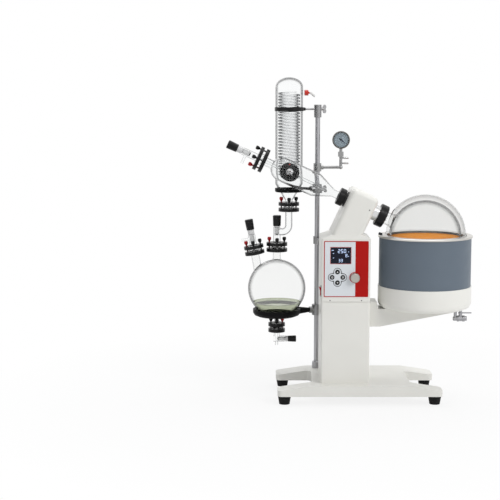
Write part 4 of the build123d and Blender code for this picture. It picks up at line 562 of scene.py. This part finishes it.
def screwTree():
    sockets = [("Radius", "Float"), ("Height", "Float"), ("Finish", "Material"), ("Slot", "Material")]
    tree, entry, leave = newTree("panHeads", sockets)
    head = tree.nodes.new("GeometryNodeMeshCone")
    head.inputs["Vertices"].default_value = screwHead["sides"]
    taper = tree.nodes.new("ShaderNodeMath")
    taper.operation = "MULTIPLY"
    taper.inputs[1].default_value = screwHead["taper"]
    cross = tree.nodes.new("GeometryNodeJoinGeometry")
    place = tree.nodes.new("GeometryNodeTransform")
    scatter = tree.nodes.new("GeometryNodeInstanceOnPoints")
    realize = tree.nodes.new("GeometryNodeRealizeInstances")
    headFinish = tree.nodes.new("GeometryNodeSetMaterial")
    slotFinish = tree.nodes.new("GeometryNodeSetMaterial")
    whole = tree.nodes.new("GeometryNodeJoinGeometry")
    lift = tree.nodes.new("ShaderNodeCombineXYZ")
    link = tree.links.new
    link(entry.outputs["Radius"], head.inputs["Radius Bottom"])
    link(entry.outputs["Radius"], taper.inputs[0])
    link(taper.outputs[0], head.inputs["Radius Top"])
    link(entry.outputs["Height"], head.inputs["Depth"])
    slotSides = (screwHead["slotLength"], screwHead["slotWidth"])
    for longSide, shortSide in (slotSides, slotSides[::-1]):
        reachX = tree.nodes.new("ShaderNodeMath")
        reachX.operation = "MULTIPLY"
        reachX.inputs[1].default_value = longSide
        reachY = tree.nodes.new("ShaderNodeMath")
        reachY.operation = "MULTIPLY"
        reachY.inputs[1].default_value = shortSide
        size = tree.nodes.new("ShaderNodeCombineXYZ")
        size.inputs["Z"].default_value = screwHead["slotDepth"]
        blade = tree.nodes.new("GeometryNodeMeshCube")
        link(entry.outputs["Radius"], reachX.inputs[0])
        link(entry.outputs["Radius"], reachY.inputs[0])
        link(reachX.outputs[0], size.inputs["X"])
        link(reachY.outputs[0], size.inputs["Y"])
        link(size.outputs[0], blade.inputs["Size"])
        link(blade.outputs["Mesh"], cross.inputs["Geometry"])
    link(cross.outputs["Geometry"], place.inputs["Geometry"])
    link(entry.outputs["Height"], lift.inputs["Z"])
    link(lift.outputs[0], place.inputs["Translation"])
    link(head.outputs["Mesh"], headFinish.inputs["Geometry"])
    link(entry.outputs["Finish"], headFinish.inputs["Material"])
    link(place.outputs["Geometry"], slotFinish.inputs["Geometry"])
    link(entry.outputs["Slot"], slotFinish.inputs["Material"])
    link(headFinish.outputs["Geometry"], whole.inputs["Geometry"])
    link(slotFinish.outputs["Geometry"], whole.inputs["Geometry"])
    link(entry.outputs["Geometry"], scatter.inputs["Points"])
    link(whole.outputs["Geometry"], scatter.inputs["Instance"])
    link(scatter.outputs["Instances"], realize.inputs["Geometry"])
    link(realize.outputs["Geometry"], leave.inputs["Geometry"])
    return tree


arcMarks = markTree()
panHeads = screwTree()

# liquids stand level, so they stay with the stand while the flask turns
flaskLiquid = {"centre": (291.5, -42.0, 634.5), "radius": 134.6, "level": -1.0, "body": "stand"}
receiverLiquid = {"centre": (-277.99, 108.0, 409.14), "radius": 111.1, "level": -55.0, "body": "stand"}
meniscus = ((0.8, 1.2), (1.3, 3.0), (1.5, 6.0))  # drop below the wet edge, distance from the wall


def liquidMesh(setup, rings=28):
    radius, level = setup["radius"], setup["level"]
    start, end = -math.pi / 2, math.asin(level / radius)
    angles = [start + (end - start) * step / rings for step in range(rings + 1)]
    profile = [(radius * math.sin(t), radius * math.cos(t) if step else 0.0) for step, t in enumerate(angles)]
    wall = profile[-1][1]
    profile += [(level - drop, wall - inset) for drop, inset in meniscus]
    profile.append((level - meniscus[-1][0], 0.0))
    return latheMesh(profile, facing(setup["centre"], (0, 0, 1), (0, 1, 0)), 96)


addPiece("amberContents", liquidMesh(flaskLiquid), flaskLiquid["body"], amberLiquid)
addPiece("paleContents", liquidMesh(receiverLiquid), receiverLiquid["body"], paleLiquid)
print("contents filled")

# control panel: film print, display, keys, knob and rocker
panel = {
    "face": -138.5, "left": -104.0, "right": 65.0, "low": 412.0, "high": 626.0, "border": 3.0, "strip": 15.0,
    "display": (-40.5, 571.0), "displaySize": (76.4, 61.4), "pad": (-52.5, 487.5), "spacing": 20.5,
    "lobe": 14.6, "keyFace": -141.0, "knob": (14.0, 487.0), "knobRing": (18.7, 21.4),
}
printLayer = {"low": 0.02, "high": 0.14, "frame": 0.16}
filmFinish, filmTree, filmShader = startMaterial("panelFilm", srgb(222, 226, 230), 0.34)
filmShader.inputs["Specular IOR Level"].default_value = 0.15
filmCoords = filmTree.nodes.new("ShaderNodeTexCoord")
filmAxes = filmTree.nodes.new("ShaderNodeSeparateXYZ")
filmTree.links.new(filmCoords.outputs["Object"], filmAxes.inputs[0])


def filmTest(axis, operation, limit):
    test = filmTree.nodes.new("ShaderNodeMath")
    test.operation = operation
    test.inputs[1].default_value = limit * mm
    filmTree.links.new(filmAxes.outputs[axis], test.inputs[0])
    return test.outputs[0]


redAreas = [
    filmTest("X", "GREATER_THAN", panel["strip"]),
    filmTest("X", "LESS_THAN", panel["left"] + panel["border"]),
    filmTest("Z", "LESS_THAN", panel["low"] + panel["border"]),
    filmTest("Z", "GREATER_THAN", panel["high"] - panel["border"]),
]
redArea = redAreas[0]
for area in redAreas[1:]:
    either = filmTree.nodes.new("ShaderNodeMath")
    either.operation = "MAXIMUM"
    filmTree.links.new(redArea, either.inputs[0])
    filmTree.links.new(area, either.inputs[1])
    redArea = either.outputs[0]
filmMix = filmTree.nodes.new("ShaderNodeMix")
filmMix.data_type = "RGBA"
filmMix.inputs["A"].default_value = srgb(224, 228, 232)
filmMix.inputs["B"].default_value = srgb(176, 16, 10)
filmTree.links.new(redArea, filmMix.inputs["Factor"])
filmTree.links.new(filmMix.outputs["Result"], filmShader.inputs["Base Color"])
driftRoughness(filmTree, filmShader, 0.3, 0.4, 60.0)
addGrain(filmTree, filmShader, 2600.0, 0.08, 0.00005)
paint(filmFinish, "control_panel")

blackInk = mouldedFinish("blackInk", srgb(16, 16, 18), srgb(22, 22, 24), 0.4, 2200.0, 0.12, 0.2)
whiteInk = mouldedFinish("whiteInk", srgb(232, 232, 232), srgb(238, 238, 238), 0.4)
redInk = mouldedFinish("redInk", srgb(178, 18, 12), srgb(186, 22, 16), 0.36, 2200.0, 0.12, 0.15)
displayDark = mouldedFinish("displayDark", srgb(8, 13, 30), srgb(11, 18, 38), 0.14, 2200.0, 0.04, 0.2)
digitGlow, digitTree, digitShader = startMaterial("digitGlow", srgb(190, 212, 250), 0.4)
digitShader.inputs["Emission Color"].default_value = srgb(200, 220, 255)
digitShader.inputs["Emission Strength"].default_value = 0.7
driftRoughness(digitTree, digitShader, 0.3, 0.5, 200.0)

displayX, displayZ = panel["display"]
displayWidth, displayHeight = panel["displaySize"]
displayPlace = facing((displayX, panel["face"], displayZ), (0, -1, 0))
displayMesh = plateMesh(roundedRect(displayWidth, displayHeight, 1.2), -0.55, -0.1, displayPlace)
addPiece("displayWindow", displayMesh, "stand", displayDark)
frameOuter = roundedRect(displayWidth + 4.0, displayHeight + 4.0, 2.0)
frameInner = roundedRect(displayWidth + 1.2, displayHeight + 1.2, 1.2)
frameMesh = plateMesh(frameOuter, printLayer["low"], printLayer["frame"], displayPlace, frameInner)
addPiece("displayFrame", frameMesh, "stand", redInk)

# seven-segment figures; each segment is a slim hexagon
segmentsOf = {"0": "abcdef", "2": "abged", "3": "abgcd", "5": "afgcd", "8": "abcdefg"}
figureShape = {"width": 0.5, "bar": 0.13, "pitch": 0.86, "bottom": -0.09, "top": 0.03}


def figureMeshes(text, left, base, height, place):
    width, bar = figureShape["width"] * height, figureShape["bar"] * height
    half = height / 2
    lines = {
        "a": ((0, height), (width, height)), "g": ((0, half), (width, half)), "d": ((0, 0), (width, 0)),
        "f": ((0, half), (0, height)), "b": ((width, half), (width, height)),
        "e": ((0, 0), (0, half)), "c": ((width, 0), (width, half)),
    }
    meshes = []
    for number, letter in enumerate(text):
        for name in segmentsOf[letter]:
            start, end = (Vector(point) for point in lines[name])
            along = (end - start).normalized()
            side = Vector((-along.y, along.x)) * bar / 2
            start, end = start + along * bar * 0.6, end - along * bar * 0.6
            tip = along * bar / 2
            corners = [start - tip, start - side, end - side, end + tip, end + side, start + side]
            shift = Vector((left + number * figureShape["pitch"] * height, base))
            outline = [tuple(corner + shift) for corner in corners]
            meshes.append(plateMesh(outline, figureShape["bottom"], figureShape["top"], place))
    return meshes


figures = [("250", -10.0, 10.5, 13.0), ("8", 18.5, -5.5, 11.0), ("33", -8.0, -24.5, 10.5)]
figureParts = [part for row in figures for part in figureMeshes(*row, displayPlace)]
displayMarks = ((-31.0, 20.0, 8.0), (-28.0, 8.0, 4.0), (-28.0, -9.0, 4.0), (29.0, 14.0, 3.0), (29.0, -3.0, 3.0))
for markX, markZ, markWidth in displayMarks:
    spot = [(x + markX, z + markZ) for x, z in roundedRect(markWidth, 1.8, 0.6, 3)]
    figureParts.append(plateMesh(spot, figureShape["bottom"], figureShape["top"], displayPlace))
addPiece("displayFigures", joinMeshes(figureParts), "stand", digitGlow)

# clover outline round the four keys, worked out from a smooth union of their circles
padX, padZ = panel["pad"]
keySpots = {"up": (0.0, 1.0), "left": (-1.0, 0.0), "right": (1.0, 0.0), "down": (0.0, -1.0)}


clover = {"blend": 2.4, "halfLine": 1.0, "points": 160}


def cloverEdge(angle, grow):
    direction = Vector((math.cos(angle), math.sin(angle)))
    lobeRadius = panel["lobe"] + grow
    low, high = 2.0, 60.0
    for step in range(40):
        middle = (low + high) / 2
        point = direction * middle
        gaps = [(point - Vector(spot) * panel["spacing"]).length - lobeRadius for spot in keySpots.values()]
        blended = -clover["blend"] * math.log(sum(math.exp(-gap / clover["blend"]) for gap in gaps))
        low, high = (middle, high) if blended < 0.0 else (low, middle)
    return (direction.x * low, direction.y * low)


cloverAngles = [2.0 * math.pi * step / clover["points"] for step in range(clover["points"])]
padPlace = facing((padX, panel["face"], padZ), (0, -1, 0))
cloverOuter = [cloverEdge(t, clover["halfLine"]) for t in cloverAngles]
cloverInner = [cloverEdge(t, -clover["halfLine"]) for t in cloverAngles]
cloverMesh = plateMesh(cloverOuter, printLayer["low"], printLayer["high"], padPlace, cloverInner)
addPiece("keyOutline", cloverMesh, "stand", blackInk)
triangle = [(0.0, 3.6), (-3.3, -2.4), (3.3, -2.4)]
keyIcons = {
    "up": [(triangle, None)],
    "down": [([(-x, -y) for x, y in triangle], None)],
    "left": [(circle(4.0, 32), circle(2.9, 32)), (roundedRect(1.1, 3.4, 0.4, 3), None)],
    "right": [(circle(4.0, 32), circle(2.9, 32)), ([(y * 0.5, -x * 0.5) for x, y in triangle], None)],
}
for keyName, (right, up) in keySpots.items():
    keyX, keyZ = padX + right * panel["spacing"], padZ + up * panel["spacing"]
    place = facing((keyX, panel["keyFace"], keyZ), (0, -1, 0))
    icon = joinMeshes([plateMesh(shape, 0.01, 0.14, place, hole) for shape, hole in keyIcons[keyName]])
    addPiece(keyName + "Icon", icon, "key_" + keyName, whiteInk)

knobX, knobZ = panel["knob"]
ringInner, ringOuter = panel["knobRing"]
knobPlace = facing((knobX, panel["face"], knobZ), (0, -1, 0))
ringMesh = plateMesh(
    circle(ringOuter, 72), printLayer["low"], printLayer["high"], knobPlace, circle(ringInner, 72)
)
addPiece("knobRing", ringMesh, "stand", redInk)
knobGrip = {"ribs": 72, "radius": 17.45, "size": (0.5, 0.7, 16.0), "start": 13.0}
gripSweep = 2.0 * math.pi * (knobGrip["ribs"] - 1) / knobGrip["ribs"]
gripMesh = bakeTree(arcMarks, {
    "Count": knobGrip["ribs"], "Radius": knobGrip["radius"], "Start": 0.0, "Sweep": gripSweep,
    "Size": knobGrip["size"], "Finish": knobAlloy,
})
gripMesh.transform(knobPlace @ Matrix.Translation((0.0, 0.0, knobGrip["start"])))
addPiece("knobGrip", gripMesh, "knob")
print("panel dressed")

# rocker bezel on the housing's left wall
rocker = {"wall": -113.0, "y": -113.0, "z": 432.0, "outer": (29.0, 43.0), "inner": (22.4, 36.2), "rise": 1.6}
rockerPlace = facing((rocker["wall"], rocker["y"], rocker["z"]), (-1, 0, 0))
bezelOuter, bezelInner = roundedRect(*rocker["outer"], 3.0), roundedRect(*rocker["inner"], 1.0)
bezelMesh = plateMesh(bezelOuter, 0.02, rocker["rise"], rockerPlace, bezelInner)
addPiece("rockerBezel", bezelMesh, "stand", blackPlastic)

# gauge: dial, marks, figures and crystal
gauge = {
    "centre": (-22.99, 148.7, 998.0), "dial": 29.6, "start": -40.0, "sweep": 260.0, "markHeight": 0.12,
    "long": (11, 24.8, (4.0, 0.5, 0.1)), "short": (51, 25.6, (2.4, 0.2, 0.1)),
    "figureRing": 17.6, "figureSize": 4.6,
}
gaugePlace = facing(gauge["centre"], (0, -1, 0))
dialFinish = mouldedFinish("dialFinish", srgb(156, 170, 179), srgb(149, 164, 174), 0.5)
dialRadius = gauge["dial"]
dialProfile = [(-0.3, 0.0), (-0.3, dialRadius), (0.0, dialRadius), (0.05, dialRadius - 0.4), (0.05, 0.0)]
addPiece("gaugeDial", latheMesh(dialProfile, gaugePlace, 72), "stand", dialFinish)
dialMarks = []
for count, radius, size in (gauge["long"], gauge["short"]):
    marks = bakeTree(arcMarks, {
        "Count": count, "Radius": radius, "Start": math.radians(gauge["start"]),
        "Sweep": math.radians(gauge["sweep"]), "Size": size, "Finish": blackInk,
    })
    marks.transform(gaugePlace @ Matrix.Translation((0.0, 0.0, gauge["markHeight"])))
    dialMarks.append(marks)
for number in range(0, 11, 2):
    angle = math.radians(gauge["start"] + gauge["sweep"] * number / 10.0)
    letters = bpy.data.curves.new("figure", "FONT")
    letters.body = str(number)
    letters.size = gauge["figureSize"]
    letters.align_x = "CENTER"
    letters.align_y = "CENTER"
    letters.extrude = 0.04
    letters.resolution_u = 4
    holder = bpy.data.objects.new("figure", letters)
    scene.collection.objects.link(holder)
    figure = bpy.data.meshes.new_from_object(holder.evaluated_get(bpy.context.evaluated_depsgraph_get()))
    bpy.data.objects.remove(holder)
    ring = gauge["figureRing"]
    spot = (ring * math.cos(angle), ring * math.sin(angle), gauge["markHeight"])
    figure.transform(gaugePlace @ Matrix.Translation(spot))
    dialMarks.append(figure)
addPiece("gaugeMarks", joinMeshes(dialMarks), "stand", blackInk)
crystalProfile = [(5.0, 0.0), (5.0, 29.7), (6.0, 29.7), (6.4, 26.0), (6.6, 0.0)]
addPiece("gaugeCrystal", latheMesh(crystalProfile, gaugePlace, 72), "stand", valveGlass)

# screws: name, radius, height, outward direction, places, finish
screwSets = [
    ("headScrew", 2.6, 1.2, (0, -1, 0), [(67.0, -134.5, 743.0)], castAlloy),
    ("panelScrews", 2.4, 0.9, (0, -1, 0), [(-80.0, -137.0, 398.0), (40.0, -137.0, 398.0)], castAlloy),
    ("coverScrews", 3.4, 1.6, (0, 1, 0),
     [(x, 53.0, z) for x in (-107.0, 67.0) for z in (82.0, 216.0, 350.0, 484.0, 627.0)], nickelPlate),
    ("inletScrews", 2.4, 1.2, (0, 1, 0), [(-80.0, 55.5, 135.0), (-40.0, 55.5, 135.0)], nickelPlate),
    ("stayScrews", 3.4, 1.8, (0, 1, 0), [(-88.0, 57.0, 597.0), (-64.0, 57.0, 597.0)], nickelPlate),
]
for name, radius, height, outward, spots, finish in screwSets:
    place = facing((0.0, 0.0, 0.0), outward)
    local = [place.inverted() @ (Vector(spot) * mm) for spot in spots]
    screws = bakeTree(panHeads, {"Radius": radius, "Height": height, "Finish": finish, "Slot": blackInk}, local)
    screws.transform(place)
    addPiece(name, screws, "stand")

# bare steel of the studs between each pair of clamp plates: centre, axis, way to the red screw, plate radius
spindleDown = Vector((0.906308, 0.0, -0.422618))
clampJoints = [
    ((-342.01, -42.0, 929.91), -spindleDown, (-0.366, 0.5, -0.7849), 49.0),
    ((-230.99, 29.0, 878.14), (0, 1, 0), (0, 0, 1), 40.0),
    ((-230.99, 108.0, 735.14), (0, 0, 1), (-0.866025, 0.5, 0), 43.0),
    ((-277.99, 108.0, 575.14), (0, 0, 1), (-0.866025, 0.5, 0), 43.5),
    ((-367.99, 108.0, 563.64), (-0.182236, 0, 0.983255), (-0.85152, 0.5, -0.15782), 41.0),
    ((-277.99, 108.0, 250.64), (0, 0, 1), (0.866025, 0.5, 0), 35.5),
]
studs = {"radius": 3.25, "half": 4.9, "inset": 9.0, "steps": 15, "groove": 0.28}
studParts = []
for centre, way, redDirection, plateRadius in clampJoints:
    across = facing(centre, way, redDirection)
    for number in range(3):
        angle = math.radians(90.0 + 120.0 * number)
        ringRadius = plateRadius - studs["inset"]
        spot = (ringRadius * math.cos(angle), ringRadius * math.sin(angle), 0.0)
        grooves = []
        for step in range(studs["steps"]):
            height = -studs["half"] + 2 * studs["half"] * step / (studs["steps"] - 1)
            grooves.append((height, studs["radius"] - (studs["groove"] if step % 2 else 0.0)))
        profile = [(-studs["half"], 0.0)] + grooves + [(studs["half"], 0.0)]
        studParts.append(latheMesh(profile, across @ Matrix.Translation(spot), 20))
addPiece("clampStuds", joinMeshes(studParts), "stand", nickelPlate)

# white stems of the valve keys: name, body, origin, direction, start, collar, end, radius, collar radius
stems = [
    ("feedStem", "feed_key", (-342.01, -42.0, 929.91), -spindleDown, 46.0, 80.0, 100.0, 9.0, 12.6),
    ("vacuumStem", "vacuum_key", (-367.99, 108.0, 563.64), (-0.182236, 0, 0.983255),
     30.0, 64.0, 81.0, 9.0, 12.6),
    ("receiverStem", "receiver_key", (-277.99, 108.0, 575.14), (0, 0, 1), 48.0, 80.0, 84.0, 9.0, 12.6),
    ("drainStem", "drain_key", (-277.99, 108.0, 203.64), (1, 0, 0), 3.0, 34.0, 45.0, 7.5, 11.1),
]
skinDepth, ringPitch, ringRise = 0.16, 3.2, 0.5
for name, body, origin, direction, start, collar, end, radius, collarRadius in stems:
    place = facing(origin, direction, (0.0, 1.0, 0.0))
    core = radius - 0.6
    skin, wide = radius + skinDepth, collarRadius + skinDepth
    first, shoulder = start + radius / 2, collar - skinDepth
    profile = [(first, core), (first, skin), (shoulder, skin), (shoulder, wide)]
    for step in range(int((end - collar - 3.0) / ringPitch)):  # moulded rings on the collar
        low = collar + 1.4 + ringPitch * step
        profile += [(low, wide), (low + 0.5, wide + ringRise), (low + 1.5, wide + ringRise), (low + 2.0, wide)]
    profile += [(end - 0.1, wide), (end - 0.1, core)]
    addPiece(name, latheMesh(profile, place, 48, closed=True), body, ptfeWhite)

# small temperature probe clip on the bath's rim
probe = {"place": (118.5, -42.0, 640.0), "size": (15.0, 9.0), "height": 7.0, "capShift": -2.5}
probePlace = facing(probe["place"], (0, 0, 1), (0, 1, 0))
probeBody = plateMesh(roundedRect(*probe["size"], 2.5), 0.05, probe["height"], probePlace)
capShape = ((0.0, 0.0), (0.0, 3.4), (2.0, 3.2), (2.8, 2.2), (2.8, 0.0))
capProfile = [(probe["height"] + rise, radius) for rise, radius in capShape]
probeCap = latheMesh(capProfile, probePlace @ Matrix.Translation((probe["capShift"], 0.0, 0.0)), 32)
addPiece("rimProbe", joinMeshes([probeBody, probeCap]), "bath", motorPaint)
print("fittings placed")

scene.view_layers[0].update()
